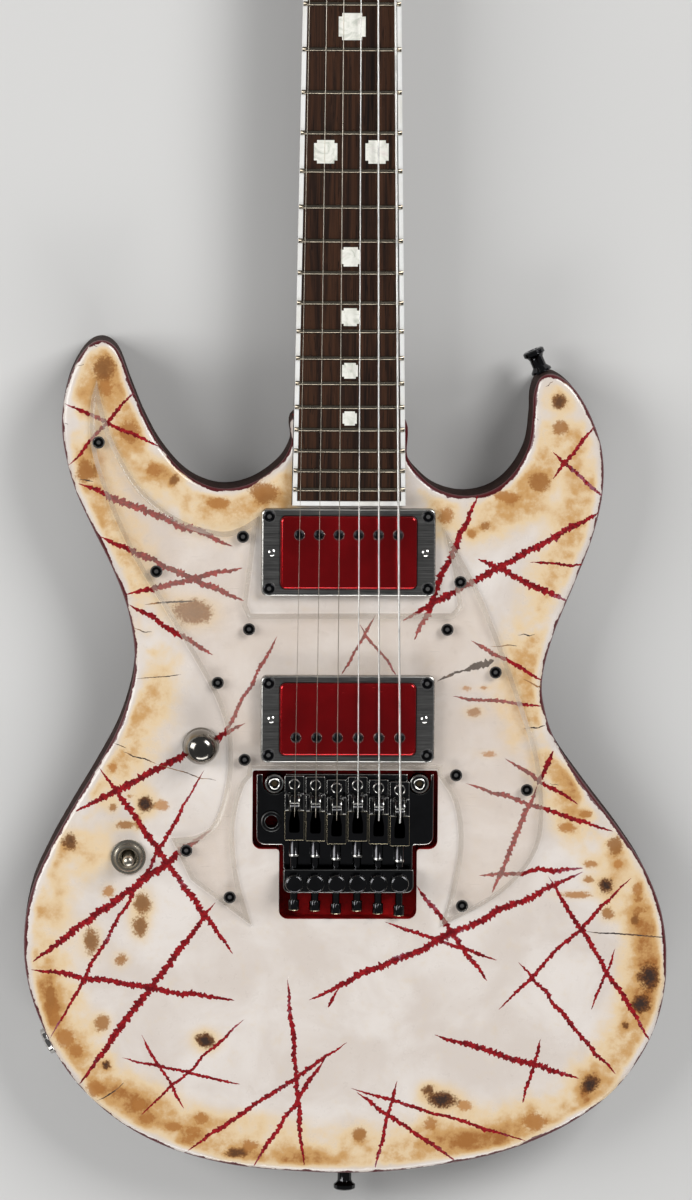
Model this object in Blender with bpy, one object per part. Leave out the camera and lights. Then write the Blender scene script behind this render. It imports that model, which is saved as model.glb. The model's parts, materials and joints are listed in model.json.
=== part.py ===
"""A left-handed solid-body electric guitar with a floating double-locking tremolo, lying on its back.

Design frame: X across the strings, positive towards the thick string; Y along the strings, zero where the
scale length ends at the saddles, positive towards the head; Z up, zero on the flat back of the body.
Everything hangs on one empty that shifts the design frame along Y and so centres the guitar on the origin.
"""

import math

import bmesh
import bpy
import numpy as np
from mathutils import Matrix, Vector

MM = 0.001

# Clearances
GAP = 0.3 * MM
RUN_GAP = 0.5 * MM

# Strings and fret scale
SCALE_LENGTH = 647.7 * MM
FRET_COUNT = 24
STRING_RADII = [r * MM for r in (0.13, 0.17, 0.22, 0.33, 0.46, 0.58)]
SADDLE_PITCH = 10.8 * MM
NUT_PITCH = 7.4 * MM
ACTION_AT_SADDLE = 10.6 * MM
NUT_LIFT = 1.6 * MM

# Body
BODY_THICK = 42 * MM
BODY_TOP_ROUND = 3 * MM
BODY_BACK_ROUND = 5 * MM
BODY_KNOTS = [
    (-25, 200), (-29.5, 184), (-36, 173.5), (-50, 164), (-66, 161.5), (-82, 168), (-95, 182), (-104, 198),
    (-111, 215), (-117.5, 231.5), (-125.5, 237), (-134, 233), (-142, 219), (-146, 200), (-145, 182),
    (-139.5, 161), (-130.5, 141), (-120, 119.5), (-112.5, 99), (-109, 78), (-110.5, 60), (-117, 39),
    (-128, 18), (-141, -4), (-152.5, -25), (-161.5, -46), (-165.5, -70), (-163.5, -94), (-155.5, -118),
    (-142, -142), (-121.5, -163), (-95, -179), (-62, -189), (-27, -193), (10, -194), (46, -190.5),
    (82, -183), (115, -169), (141, -149), (158.5, -122), (165.5, -93), (164, -63), (155.5, -38),
    (142, -16.5), (123, 8.5), (107.5, 31), (101, 50), (100.3, 66), (106, 88), (116, 113), (125, 137),
    (130, 160), (129.5, 181), (123.5, 199), (115, 213), (105.5, 220), (98, 219), (94.3, 210.5),
    (93.7, 198), (91.5, 183), (84, 169.5), (73.5, 161), (60, 158), (46.6, 161), (37, 168), (30, 178),
    (25, 200),
]
HEEL_HEIGHT = 22 * MM

# Neck, board and head
NUT_WIDTH = 42.2 * MM
BOARD_END_WIDTH = 57.7 * MM
BOARD_END_Y = 153.6 * MM
BOARD_THICK = 5.7 * MM
BOARD_RADIUS = 400 * MM
BINDING_WIDTH = 2.3 * MM
NECK_RISE = 1 * MM
NECK_SIDE = 2 * MM
NECK_DEPTH_AT_NUT = 13.5 * MM
NECK_DEPTH_AT_OCTAVE = 15 * MM
FRET_HALF_WIDTH = 1.25 * MM
FRET_HEIGHT = 1.1 * MM
HEAD_DROP = 5 * MM
HEAD_THICK = 15 * MM
HEAD_ROUND = 2 * MM
# The head's outline, in mm from the nut
HEAD_KNOTS = [
    [(21, 2.3), (26, 18.3), (32.5, 42.3)],
    [(32.5, 42.3), (-3, 172.3)],
    [(-3, 172.3), (-8, 184.3), (-20, 191.3)],
    [(-20, 191.3), (-29, 178.3), (-31, 152.3), (-28.5, 92.3), (-26.5, 42.3), (-21, 2.3)],
    [(-21, 2.3), (21, 2.3)],
]
NUT_SHELF = 16.5 * MM

# Tuners, set along a line from the thick string's to the thin string's
FIRST_POST = (22.5 * MM, SCALE_LENGTH + 44.3 * MM)
LAST_POST = (-14.5 * MM, SCALE_LENGTH + 169.3 * MM)
POST_RADIUS = 3 * MM
POST_STAND = 9 * MM
STRING_ON_POST = 6 * MM
POST_HOLE_RADIUS = 4.6 * MM
HOUSING_SIZE = (15 * MM, 13 * MM, 8.5 * MM)
TUNER_STRIP_THICK = 1.5 * MM
TUNER_STRIP_WIDTH = 17 * MM
KEY_SHAFT_RADIUS = 2 * MM
KEY_REACH = 19 * MM
KEY_BUTTON = (13 * MM, 15 * MM, 9.5 * MM)

# Locking nut and string retainer
NUT_BASE_LENGTH = 15.5 * MM
CLAMP_SIZE = (12.6 * MM, 9.5 * MM, 5 * MM)
CLAMP_SCREW_RADIUS = 2 * MM
RETAINER_Y = SCALE_LENGTH + 29.3 * MM
RETAINER_RADIUS = 2.4 * MM
RETAINER_HALF = 23 * MM
RETAINER_LEG_RADIUS = 1.5 * MM

# Clear guard
GUARD_THICK = 3 * MM
GUARD_BEVEL = 1.2 * MM
GUARD_RUNS = [
    [(-128.5, 217), (-131.7, 204), (-131, 181), (-123, 155.5), (-110, 127), (-92, 97), (-72.5, 64),
     (-64, 45), (-61, 28), (-62.5, 7), (-68, -10), (-77, -17), (-90, -18.5)],
    [(-90, -18.5), (-80, -40)],
    [(-80, -40), (-48.5, -64)],
    [(-48.5, -64), (-55.5, -38.5), (-57.5, -13), (-53.5, 6.5), (-48.7, 14)],
    [(-48.7, 14), (-48.7, 17.7)],
    [(-48.7, 17.7), (46.4, 17.7)],
    [(46.4, 17.7), (46.4, 14.5)],
    [(46.4, 14.5), (55, 0), (57.5, -22), (53.5, -47), (48.5, -64.5)],
    [(48.5, -64.5), (79, -47.5), (96, -28.5), (101, -8), (98.5, 22.5), (89.5, 51.5), (78, 83),
     (65.5, 112.5), (48.5, 142.5)],
    [(48.5, 142.5), (52.5, 125.5), (56, 102)],
    [(56, 102), (53, 98)],
    [(53, 98), (-49.5, 97.5)],
    [(-49.5, 97.5), (-51.5, 102)],
    [(-51.5, 102), (-46, 147.5)],
    [(-46, 147.5), (-56, 141.5), (-67.5, 140), (-88, 147), (-107, 163), (-120, 186), (-125.6, 204),
     (-128.5, 217)],
]
GUARD_SCREWS = [
    (-127.5, 185.3), (-53.9, 137.3), (-98, 119.4), (-50.6, 89.8), (50.8, 89.8), (-66.5, 62.2), (-52.6, 22.5),
    (-82.3, -24.6), (-59.9, -48.8), (57.3, 114.3), (75.7, 67.8), (55.9, 14.6), (92.3, 7), (59.5, -53.2),
]
GUARD_SCREW_HOLE = 2.1 * MM

# Pickups and their rings
RING_CORNER = 3 * MM
COVER_SIZE = (69.8 * MM, 37.5 * MM)
RING_WALL = (9.5 * MM, 3.65 * MM)
RING_SIZE = (COVER_SIZE[0] + 2 * RING_WALL[0], COVER_SIZE[1] + 2 * RING_WALL[1])
COVER_CORNER = 3 * MM
NECK_RING_Y = 129.4 * MM
BRIDGE_RING_Y = 44 * MM
NECK_RING_THICK = 4.5 * MM
BRIDGE_RING_THICK = 4 * MM
COVER_STAND = 1.8 * MM
COVER_DEPTH = 19 * MM
RING_SCREW_INSET = (3.7 * MM, 3.8 * MM)
HEIGHT_SCREW_INSET = 5.2 * MM
RING_SCREW_HOLE = 1.7 * MM
POLE_OFFSET = 9.2 * MM
POLE_RADIUS = 2.8 * MM
POLE_STAND = 0.5 * MM
EAR_REACH = 7.1 * MM
PICKUP_EAR = (COVER_SIZE[0] + 2 * EAR_REACH, 11 * MM, 1.6 * MM)
PICKUP_FLOOR = 20 * MM

# Tremolo
STUD_X = 37.2 * MM
STUD_Y = 10 * MM
STUD_HEAD_RADIUS = 4.85 * MM
STUD_NECK_RADIUS = 3.5 * MM
STUD_NECK_HALF = 2.4 * MM
STUD_HEAD_THICK = 3 * MM
STUD_SHAFT_RADIUS = 4.2 * MM
STUD_DEPTH = 30 * MM
PLATE_THICK = 3 * MM
PLATE_BELOW_TOP = 1 * MM
PLATE_WEST, PLATE_EAST = -46.4 * MM, 44.8 * MM
PLATE_FRONT = 14.6 * MM
PLATE_WING_BACK = -22.3 * MM
TAIL_WEST, TAIL_EAST = -32.6 * MM, 34.2 * MM
TAIL_BACK = -46 * MM
PLATE_CORNER = 4.5 * MM
RECESS_MARGIN = 2 * MM
RECESS_BACK = -60.6 * MM
RECESS_DEPTH = 14 * MM
FLANGE_FRONT = -33.5 * MM
FLANGE_THICK = 2.5 * MM
FLANGE_RISE = 9.3 * MM
FLANGE_WALL = 2 * MM
BLOCK_HALF_X = 29 * MM
BLOCK_TOP_Y = (-18 * MM, -4 * MM)
BLOCK_FOOT_Y = (-16 * MM, -6 * MM)
BLOCK_FOOT_Z = 5.6 * MM
BLOCK_SWING_BACK = 13 * MM
BLOCK_SWING_FRONT = 7 * MM
ARM_X, ARM_Y = -38.6 * MM, -9.9 * MM
ARM_HOLE_RADIUS = 3.05 * MM
SADDLE_WIDTH = 10.2 * MM
SADDLE_SETS = [s * MM for s in (0, 0.4, 1.9, 0.4, 1.9, 2.9)]
SADDLE_FRONT = 14.2 * MM
SADDLE_BACK = -18.6 * MM
LOCK_SCREW_RADIUS = 2 * MM
LOCK_HEAD_RADIUS = 2.8 * MM
LOCK_SCREW_RISE = 3.6 * MM
LOCK_HEAD_FROM, LOCK_HEAD_TO = -50 * MM, -55.5 * MM
TUNER_KNOB_RADIUS = 4.75 * MM
TUNER_KNOB_HEIGHT = 5.5 * MM
TUNER_KNOB_Y = -40.3 * MM
TUNER_STEM_RADIUS = 2 * MM

# Back cavities, their covers and the springs
COVER_THICK = 2 * MM
COVER_LEDGE = 5 * MM
SPRING_BAY_HALF = 30 * MM
SPRING_BAY_END = 104 * MM
SPRING_BAY_DEPTH = 16 * MM
SPRING_XS = [x * MM for x in (-18, 0, 18)]
SPRING_Z = 8.6 * MM
SPRING_RADIUS = 3.4 * MM
SPRING_WIRE = 0.6 * MM
SPRING_TURNS = 6
CLAW_Y = 92 * MM
CLAW_THICK = 2.5 * MM
CLAW_SCREW_X = 9 * MM
CLAW_SCREW_RADIUS = 2 * MM
CLAW_SCREW_END = 116 * MM
CONTROL_BAY_DEPTH = 36 * MM
CONTROL_BAY_KNOTS = [
    (-61, 30), (-70, 46), (-86, 48), (-103, 25), (-126, -12), (-130, -34), (-118, -48), (-99, -42),
    (-78, -8),
]

# Controls
KNOB_X, KNOB_Y = -75 * MM, 29.5 * MM
KNOB_RADIUS = 9 * MM
KNOB_HEIGHT = 17 * MM
POT_CAN_RADIUS = 11.5 * MM
POT_CAN_HEIGHT = 9 * MM
POT_BUSH_RADIUS = 4.3 * MM
POT_SHAFT_RADIUS = 2.9 * MM
SWITCH_X, SWITCH_Y = -112 * MM, -28.3 * MM
SWITCH_NUT_RADIUS = 9 * MM
SWITCH_STEP_RADIUS = 6.8 * MM
SWITCH_BUSH_RADIUS = 5.9 * MM
SWITCH_BORE_RADIUS = 4.6 * MM
LEVER_BALL_RADIUS = 3.4 * MM
LEVER_ROD_RADIUS = 1.5 * MM
LEVER_TIP_RADIUS = 2.75 * MM
LEVER_TIP_LENGTH = 11 * MM

# Side fittings, each set on the body outline next to the place given
JACK_NEAR = (-154, -130)
JACK_BORE_RADIUS = 3.3 * MM
JACK_CAN_RADIUS = 7.6 * MM
JACK_CAN_DEPTH = 36 * MM
JACK_NUT_RADIUS = 7 * MM
TAIL_BUTTON_NEAR = (1.5, -194)
HORN_BUTTON_NEAR = (99.3, 220)
BUTTON_HEAD_RADIUS = 5.6 * MM
BUTTON_NECK_RADIUS = 3.6 * MM
BUTTON_LENGTH = 12.5 * MM
SIDE_HEIGHT = BODY_THICK / 2

# Heights and places worked out from the sizes above
BODY_TOP = BODY_THICK
NECK_TOP = BODY_TOP + NECK_RISE
BOARD_BOTTOM = NECK_TOP + GAP
BOARD_TOP = BOARD_BOTTOM + BOARD_THICK
NUT_SEAT_Z = BOARD_TOP + NUT_LIFT
SADDLE_SEAT_Z = BODY_TOP + ACTION_AT_SADDLE
PLATE_TOP = BODY_TOP - PLATE_BELOW_TOP
PLATE_BOTTOM = PLATE_TOP - PLATE_THICK
KNIFE_Z = (PLATE_TOP + PLATE_BOTTOM) / 2
PIVOT_Y = STUD_Y - STUD_NECK_RADIUS - GAP
RECESS_FLOOR = BODY_TOP - RECESS_DEPTH
GUARD_BOTTOM = BODY_TOP + GAP
GUARD_TOP = GUARD_BOTTOM + GUARD_THICK
HEAD_FACE = NECK_TOP - HEAD_DROP
HEAD_BACK = HEAD_FACE - HEAD_THICK
NUT_FRONT_Y = SCALE_LENGTH + GAP
HEAD_TIP_Y = SCALE_LENGTH + max(y for run in HEAD_KNOTS for _, y in run) * MM
BODY_TAIL_Y = min(y for _, y in BODY_KNOTS) * MM
TAIL_END_Y = BODY_TAIL_Y - BUTTON_LENGTH
CENTRE_Y = (HEAD_TIP_Y + TAIL_END_Y) / 2
KEY_AXIS_Z = HEAD_BACK - TUNER_STRIP_THICK - 3 * MM

WIRE = "WIRE"


def clear_scene() -> None:
    for obj in list(bpy.data.objects):
        bpy.data.objects.remove(obj, do_unlink=True)


def material(name: str, colour: tuple, roughness: float, metallic: float = 0.0) -> bpy.types.Material:
    made = bpy.data.materials.get(name)
    if made is None:
        made = bpy.data.materials.new(name)
        made.use_nodes = True
        shader = made.node_tree.nodes["Principled BSDF"]
        shader.inputs["Base Color"].default_value = (*colour, 1.0)
        shader.inputs["Roughness"].default_value = roughness
        shader.inputs["Metallic"].default_value = metallic
    return made


def black_chrome() -> bpy.types.Material:
    return material("black_chrome", (0.035, 0.036, 0.04), 0.12, 1.0)


def steel() -> bpy.types.Material:
    return material("steel", (0.6, 0.6, 0.6), 0.25, 1.0)


# Outlines

def in_metres(points: list) -> np.ndarray:
    return np.array(points, float) * MM


def smooth_run(knots, per_span: int, closed: bool = False) -> np.ndarray:
    """Points on the Catmull-Rom curve through the knots. An open run leaves out its last knot."""
    knots = np.asarray(knots, float)
    if not closed and len(knots) == 2:
        return knots[:1]
    if closed:
        before, here = np.roll(knots, 1, axis=0), knots
        after, last = np.roll(knots, -1, axis=0), np.roll(knots, -2, axis=0)
    else:
        padded = np.vstack([2 * knots[0] - knots[1], knots, 2 * knots[-1] - knots[-2]])
        before, here, after, last = padded[:-3], padded[1:-2], padded[2:-1], padded[3:]
    t = (np.arange(per_span) / per_span)[None, :, None]
    a, b, c, d = (p[:, None, :] for p in (before, here, after, last))
    curve = 0.5 * (2 * b + (c - a) * t + (2 * a - 5 * b + 4 * c - d) * t**2 + (3 * b - a - 3 * c + d) * t**3)
    return curve.reshape(-1, knots.shape[1])


def chain(runs: list, per_span: int) -> np.ndarray:
    """One closed outline from smooth runs that meet at sharp corners."""
    return np.vstack([smooth_run(run, per_span) for run in runs])


def rounded(corners: list, radii, steps: int = 4) -> np.ndarray:
    """A closed polygon whose corners are arcs of the given radii."""
    corners = np.asarray(corners, float)
    radii = np.broadcast_to(radii, len(corners))
    points = []
    before_each, after_each = np.roll(corners, 1, axis=0), np.roll(corners, -1, axis=0)
    for before, corner, after, radius in zip(before_each, corners, after_each, radii):
        come = (corner - before) / np.linalg.norm(corner - before)
        leave = (after - corner) / np.linalg.norm(after - corner)
        turn = math.atan2(come[0] * leave[1] - come[1] * leave[0], come @ leave)
        tangent = abs(radius * math.tan(turn / 2))
        side = np.array([-come[1], come[0]]) * math.copysign(1, turn)
        centre = corner - come * tangent + side * radius
        for share in np.linspace(0, 1, steps + 1):
            angle = turn * share
            arm = -side * radius
            points.append(centre + (arm[0] * math.cos(angle) - arm[1] * math.sin(angle),
                                    arm[0] * math.sin(angle) + arm[1] * math.cos(angle)))
    return np.array(points)


def rectangle(size: tuple, centre: tuple = (0.0, 0.0), radius: float = 0.0, steps: int = 2) -> np.ndarray:
    half = np.array(size) / 2
    corners = np.array([(-1, -1), (1, -1), (1, 1), (-1, 1)]) * half + centre
    return rounded(corners, radius, steps) if radius else corners


def box_outline(x0: float, x1: float, y0: float, y1: float) -> list:
    return [(x0, y0), (x1, y0), (x1, y1), (x0, y1)]


def counterclockwise(outline: np.ndarray) -> np.ndarray:
    ahead = np.roll(outline, -1, axis=0)
    area = (outline[:, 0] * ahead[:, 1] - ahead[:, 0] * outline[:, 1]).sum()
    return outline if area > 0 else outline[::-1]


def inset(outline: np.ndarray, distance: float, longest_mitre: float = 3.0) -> np.ndarray:
    """The outline moved inwards, with its sharp points cut short at a few times the distance."""
    ahead = np.roll(outline, -1, axis=0) - outline
    ahead /= np.linalg.norm(ahead, axis=1)[:, None]
    inward = np.column_stack([-ahead[:, 1], ahead[:, 0]])
    both = inward + np.roll(inward, 1, axis=0)
    both /= np.linalg.norm(both, axis=1)[:, None]
    stretch = 1 / np.maximum((both * inward).sum(axis=1), 1 / longest_mitre)
    return outline + both * (stretch * distance)[:, None]


def rise(outline: np.ndarray, z: float) -> np.ndarray:
    return np.column_stack([outline, np.full(len(outline), z)])


def slab_rings(outline, z0: float, z1: float, foot=0.0, head=0.0, steps: int = 2,
               chamfer: bool = False) -> list:
    """Rings of a slab whose lower and upper edges are rounded by foot and head, or chamfered."""
    outline = counterclockwise(np.asarray(outline, float))
    rings = []
    for radius, z, way in ((foot, z0, 1), (head, z1, -1)):
        turns = np.linspace(0, math.pi / 2, 2 if chamfer else steps + 1) if radius else [math.pi / 2]
        edge = []
        for turn in turns:
            inward = radius * (1 - math.sin(turn))
            up = radius * (1 - math.cos(turn))
            edge.append(rise(inset(outline, inward) if inward > 1e-9 else outline, z + way * up))
        rings += edge if way > 0 else edge[::-1]
    return rings


# Meshes

def loft(rings: list, close_ends: bool = True) -> bmesh.types.BMesh:
    """A skin over rings of equal length, with a face over each end."""
    bm = bmesh.new()
    levels = [[bm.verts.new(point) for point in ring] for ring in rings]
    count = len(levels[0])
    for lower, upper in zip(levels, levels[1:]):
        for i in range(count):
            j = (i + 1) % count
            bm.faces.new((lower[i], lower[j], upper[j], upper[i]))
    if close_ends:
        bm.faces.new(levels[0][::-1])
        bm.faces.new(levels[-1])
    bmesh.ops.recalc_face_normals(bm, faces=bm.faces)
    return bm


def prism(outline, z0: float, z1: float) -> bmesh.types.BMesh:
    outline = counterclockwise(np.asarray(outline, float))
    return loft([rise(outline, z0), rise(outline, z1)])


def revolve(profile: list, sides: int) -> bmesh.types.BMesh:
    """A turned solid about Z from (radius, height) points.

    The profile starts and ends on the axis, or closes on itself.
    """
    bm = bmesh.new()
    angles = np.arange(sides) * 2 * math.pi / sides
    levels = []
    for radius, z in profile:
        if radius < 1e-9:
            levels.append([bm.verts.new((0, 0, z))])
        else:
            levels.append([bm.verts.new((radius * math.cos(a), radius * math.sin(a), z)) for a in angles])
    hollow = len(levels[0]) > 1
    pairs = list(zip(levels, levels[1:]))
    if hollow:
        pairs.append((levels[-1], levels[0]))
    for first, second in pairs:
        for i in range(sides):
            j = (i + 1) % sides
            corners = [first[i % len(first)], first[j % len(first)],
                       second[j % len(second)], second[i % len(second)]]
            bm.faces.new(list(dict.fromkeys(corners)))
    bmesh.ops.recalc_face_normals(bm, faces=bm.faces)
    return bm


def cylinder(radius: float, z0: float, z1: float, sides: int = 16,
             at: tuple = (0.0, 0.0)) -> bmesh.types.BMesh:
    bm = revolve([(0, z0), (radius, z0), (radius, z1), (0, z1)], sides)
    bmesh.ops.translate(bm, verts=bm.verts, vec=(*at, 0))
    return bm


def turned(bm: bmesh.types.BMesh, matrix: Matrix) -> bmesh.types.BMesh:
    bmesh.ops.transform(bm, matrix=matrix, verts=bm.verts)
    return bm


def gathered(*parts: bmesh.types.BMesh) -> bmesh.types.BMesh:
    """Several separate shells in one mesh, for a cutter or for the second half of a union."""
    whole = bmesh.new()
    for part in parts:
        mesh = bpy.data.meshes.new("shell")
        part.to_mesh(mesh)
        part.free()
        whole.from_mesh(mesh)
        bpy.data.meshes.remove(mesh)
    return whole


def add(name: str, bm: bmesh.types.BMesh, finish: bpy.types.Material | None, at=(0.0, 0.0, 0.0),
        turn: float = 0.0, parent: bpy.types.Object | None = None, smooth: float = 35.0) -> bpy.types.Object:
    mesh = bpy.data.meshes.new(name)
    bm.to_mesh(mesh)
    bm.free()
    mesh.shade_smooth()
    mesh.set_sharp_from_angle(angle=math.radians(smooth))
    obj = bpy.data.objects.new(name, mesh)
    bpy.context.scene.collection.objects.link(obj)
    obj.location = at
    obj.rotation_euler = (0.0, 0.0, turn)
    obj.parent = parent or bpy.data.objects["guitar_frame"]
    if finish:
        mesh.materials.append(finish)
    return obj


def helper(name: str, bm: bmesh.types.BMesh, parent: bpy.types.Object | None = None) -> bpy.types.Object:
    """A shape that only cuts or joins others."""
    obj = add(name, bm, None, parent=parent)
    obj.hide_render = True
    obj.display_type = WIRE
    return obj


def combine(obj: bpy.types.Object, bm: bmesh.types.BMesh, operation: str) -> None:
    """Cuts the shape from the object or joins it to the object. The shape is in the object's own frame."""
    other = helper(f"{obj.name}_{operation.lower()}", bm, parent=obj)
    modifier = obj.modifiers.new(operation.title(), "BOOLEAN")
    modifier.operation = operation
    modifier.solver = "EXACT"
    modifier.object = other


def cut(obj: bpy.types.Object, *parts: bmesh.types.BMesh) -> None:
    combine(obj, gathered(*parts), "DIFFERENCE")


def join(obj: bpy.types.Object, *parts: bmesh.types.BMesh) -> None:
    combine(obj, gathered(*parts), "UNION")


def tube(name: str, points: np.ndarray, radius: float, finish: bpy.types.Material,
         sides: int = 2) -> bpy.types.Object:
    """A round rod along points, as a curve with a bevel and filled ends."""
    curve = bpy.data.curves.new(name, "CURVE")
    curve.dimensions = "3D"
    curve.bevel_depth = radius
    curve.bevel_resolution = sides
    curve.use_fill_caps = True
    spline = curve.splines.new("POLY")
    spline.points.add(len(points) - 1)
    for place, point in zip(spline.points, points):
        place.co = (*point, 1.0)
    curve.materials.append(finish)
    obj = bpy.data.objects.new(name, curve)
    bpy.context.scene.collection.objects.link(obj)
    obj.parent = bpy.data.objects["guitar_frame"]
    return obj


# Body

def body_outline(per_span: int = 2) -> np.ndarray:
    return counterclockwise(smooth_run(in_metres(BODY_KNOTS), per_span, closed=True))


def side_place(near: tuple) -> tuple:
    """The point of the body's side next to a place, and the direction that points out of it."""
    outline = body_outline(per_span=8)
    i = int(np.argmin(np.linalg.norm(outline - in_metres([near])[0], axis=1)))
    ahead = outline[(i + 1) % len(outline)] - outline[i - 1]
    outward = np.array([ahead[1], -ahead[0]]) / np.linalg.norm(ahead)
    return outline[i], outward


def facing(place: np.ndarray, outward: np.ndarray, z: float) -> Matrix:
    """Turns a shape made about Z so that its Z points outward along the ground from the place."""
    direction = Vector((*outward, 0.0))
    return Matrix.Translation((*place, z)) @ direction.to_track_quat("Z", "Y").to_matrix().to_4x4()


def board_half(y: float) -> float:
    """Half the fretboard's width, binding included, at a place along it."""
    share = (SCALE_LENGTH - y) / (SCALE_LENGTH - BOARD_END_Y)
    return (NUT_WIDTH + (BOARD_END_WIDTH - NUT_WIDTH) * share) / 2


def pickup_well(y: float, ease: float) -> np.ndarray:
    """The outline of a pickup's cavity: its cover and the two ears, with room round them."""
    half_x = COVER_SIZE[0] / 2 + ease
    half_y = COVER_SIZE[1] / 2 + ease
    ear_x = PICKUP_EAR[0] / 2 + RUN_GAP
    ear_y = PICKUP_EAR[1] / 2 + RUN_GAP
    quarter = [(half_x, -half_y), (half_x, -ear_y), (ear_x, -ear_y)]
    right = quarter + [(x, -v) for x, v in quarter[::-1]]
    return np.array(right + [(-x, -v) for x, v in right]) + (0, y)


def plate_outline(margin: float) -> np.ndarray:
    """The tremolo plate seen from above. Grown by a margin, it is the recess round the plate."""
    back = TAIL_BACK if margin == 0 else RECESS_BACK
    west, east = PLATE_WEST - margin, PLATE_EAST + margin
    tail_west, tail_east = TAIL_WEST - margin, TAIL_EAST + margin
    wing, front = PLATE_WING_BACK - margin, PLATE_FRONT + margin
    corners = [(west, front), (west, wing), (tail_west, wing), (tail_west, back), (tail_east, back),
               (tail_east, wing), (east, wing), (east, front)]
    corner, small = PLATE_CORNER, PLATE_CORNER / 3
    return rounded(corners, [small, corner, small, corner, corner, small, corner, small], 2)


def bay_cover_outlines() -> dict:
    """The outlines of the two back covers."""
    swing = BLOCK_TOP_Y[0] - BLOCK_SWING_BACK
    spring = box_outline(-SPRING_BAY_HALF - COVER_LEDGE, SPRING_BAY_HALF + COVER_LEDGE,
                         swing - COVER_LEDGE, SPRING_BAY_END + COVER_LEDGE)
    control = counterclockwise(smooth_run(in_metres(CONTROL_BAY_KNOTS), 3, closed=True))
    return {"spring_cover": rounded(spring, COVER_LEDGE, 3), "control_cover": inset(control, -COVER_LEDGE)}


def make_body() -> None:
    cream = material("aged_cream_lacquer", (0.82, 0.75, 0.62), 0.35)
    outline = body_outline()
    body = add("body", loft(slab_rings(outline, 0, BODY_THICK, BODY_BACK_ROUND, BODY_TOP_ROUND)), cream)
    above = BODY_TOP + 10 * MM
    below = -10 * MM

    # Neck pocket, open towards the head
    pocket_far = BOARD_END_Y + 90 * MM
    near, far = board_half(BOARD_END_Y) + GAP, board_half(pocket_far) + GAP
    pocket = [(-near, BOARD_END_Y - GAP), (near, BOARD_END_Y - GAP), (far, pocket_far), (-far, pocket_far)]
    cut(body, prism(pocket, HEEL_HEIGHT, above))

    # Pickup cavities
    for y in (NECK_RING_Y, BRIDGE_RING_Y):
        cut(body, prism(pickup_well(y, 1 * MM), PICKUP_FLOOR, above))

    # Tremolo recess, the slot that the sustain block swings in, and the bay for the springs
    cut(body, prism(plate_outline(RECESS_MARGIN), RECESS_FLOOR, above))
    slot_back = BLOCK_TOP_Y[0] - BLOCK_SWING_BACK
    slot_front = BLOCK_TOP_Y[1] + BLOCK_SWING_FRONT
    slot = box_outline(-BLOCK_HALF_X - 2 * MM, BLOCK_HALF_X + 2 * MM, slot_back, slot_front)
    cut(body, prism(slot, below, RECESS_FLOOR + 5 * MM))
    bay = box_outline(-SPRING_BAY_HALF, SPRING_BAY_HALF, slot_back - 1 * MM, SPRING_BAY_END)
    cut(body, prism(rounded(bay, 3 * MM, 2), below, SPRING_BAY_DEPTH))
    cut(body, prism(smooth_run(in_metres(CONTROL_BAY_KNOTS), 2, closed=True), below, CONTROL_BAY_DEPTH))

    # Ledges that the back covers lie in
    ledge = COVER_THICK + 2 * GAP
    ledges = [inset(counterclockwise(outline), -GAP) for outline in bay_cover_outlines().values()]
    cut(body, *[prism(outline, below, ledge) for outline in ledges])

    # Round holes through the top and into the recess floor
    holes = [cylinder(STUD_SHAFT_RADIUS + GAP, RECESS_FLOOR - STUD_DEPTH + 8 * MM, RECESS_FLOOR + 2 * MM, 12,
                      (x, STUD_Y)) for x in (-STUD_X, STUD_X)]
    for radius, at in ((POT_BUSH_RADIUS, (KNOB_X, KNOB_Y)), (SWITCH_BUSH_RADIUS, (SWITCH_X, SWITCH_Y))):
        holes.append(cylinder(radius + GAP, CONTROL_BAY_DEPTH - 2 * MM, above, 12, at))
    cut(body, *holes)

    # Holes for the claw's screws, in the end wall of the spring bay
    along_y = Matrix.Rotation(-math.pi / 2, 4, "X")
    claw_holes = []
    for x in (-CLAW_SCREW_X, CLAW_SCREW_X):
        hole = cylinder(CLAW_SCREW_RADIUS + GAP, SPRING_BAY_END - 5 * MM, CLAW_SCREW_END + 2 * MM, 8)
        hole = turned(hole, along_y)
        claw_holes.append(turned(hole, Matrix.Translation((x, 0, SPRING_Z))))
    cut(body, *claw_holes)

    # Bore for the output jack, and the wire way from it to the control bay
    place, outward = side_place(JACK_NEAR)
    bore = cylinder(JACK_CAN_RADIUS + RUN_GAP, -JACK_CAN_DEPTH - 4 * MM, 20 * MM, 16)
    bore_end = place - outward * (JACK_CAN_DEPTH - 2 * MM)
    bay_middle = in_metres([(-116, -30)])[0]
    way = bay_middle - bore_end
    wire = cylinder(3 * MM, 0, float(np.linalg.norm(way)), 8)
    cut(body, turned(bore, facing(place, outward, SIDE_HEIGHT)))
    cut(body, turned(wire, facing(bore_end, way, SIDE_HEIGHT)))


# Neck, fretboard and head

def neck_section(y: float, top: float, bottom: float, squareness: float) -> np.ndarray:
    """A ring across the neck: flat above, and below a superellipse that goes from square to round."""
    half = board_half(y)
    angles = np.linspace(0, math.pi, 11)
    cosine, sine = np.cos(angles), np.sin(angles)
    x = half * np.sign(cosine) * np.abs(cosine) ** (2 / squareness)
    side = top - NECK_SIDE
    z = side - (side - bottom) * np.abs(sine) ** (2 / squareness)
    under = np.column_stack([x, np.full(len(x), y), z])
    return np.vstack([under, [(-half, y, top)], [(half, y, top)]])


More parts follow.
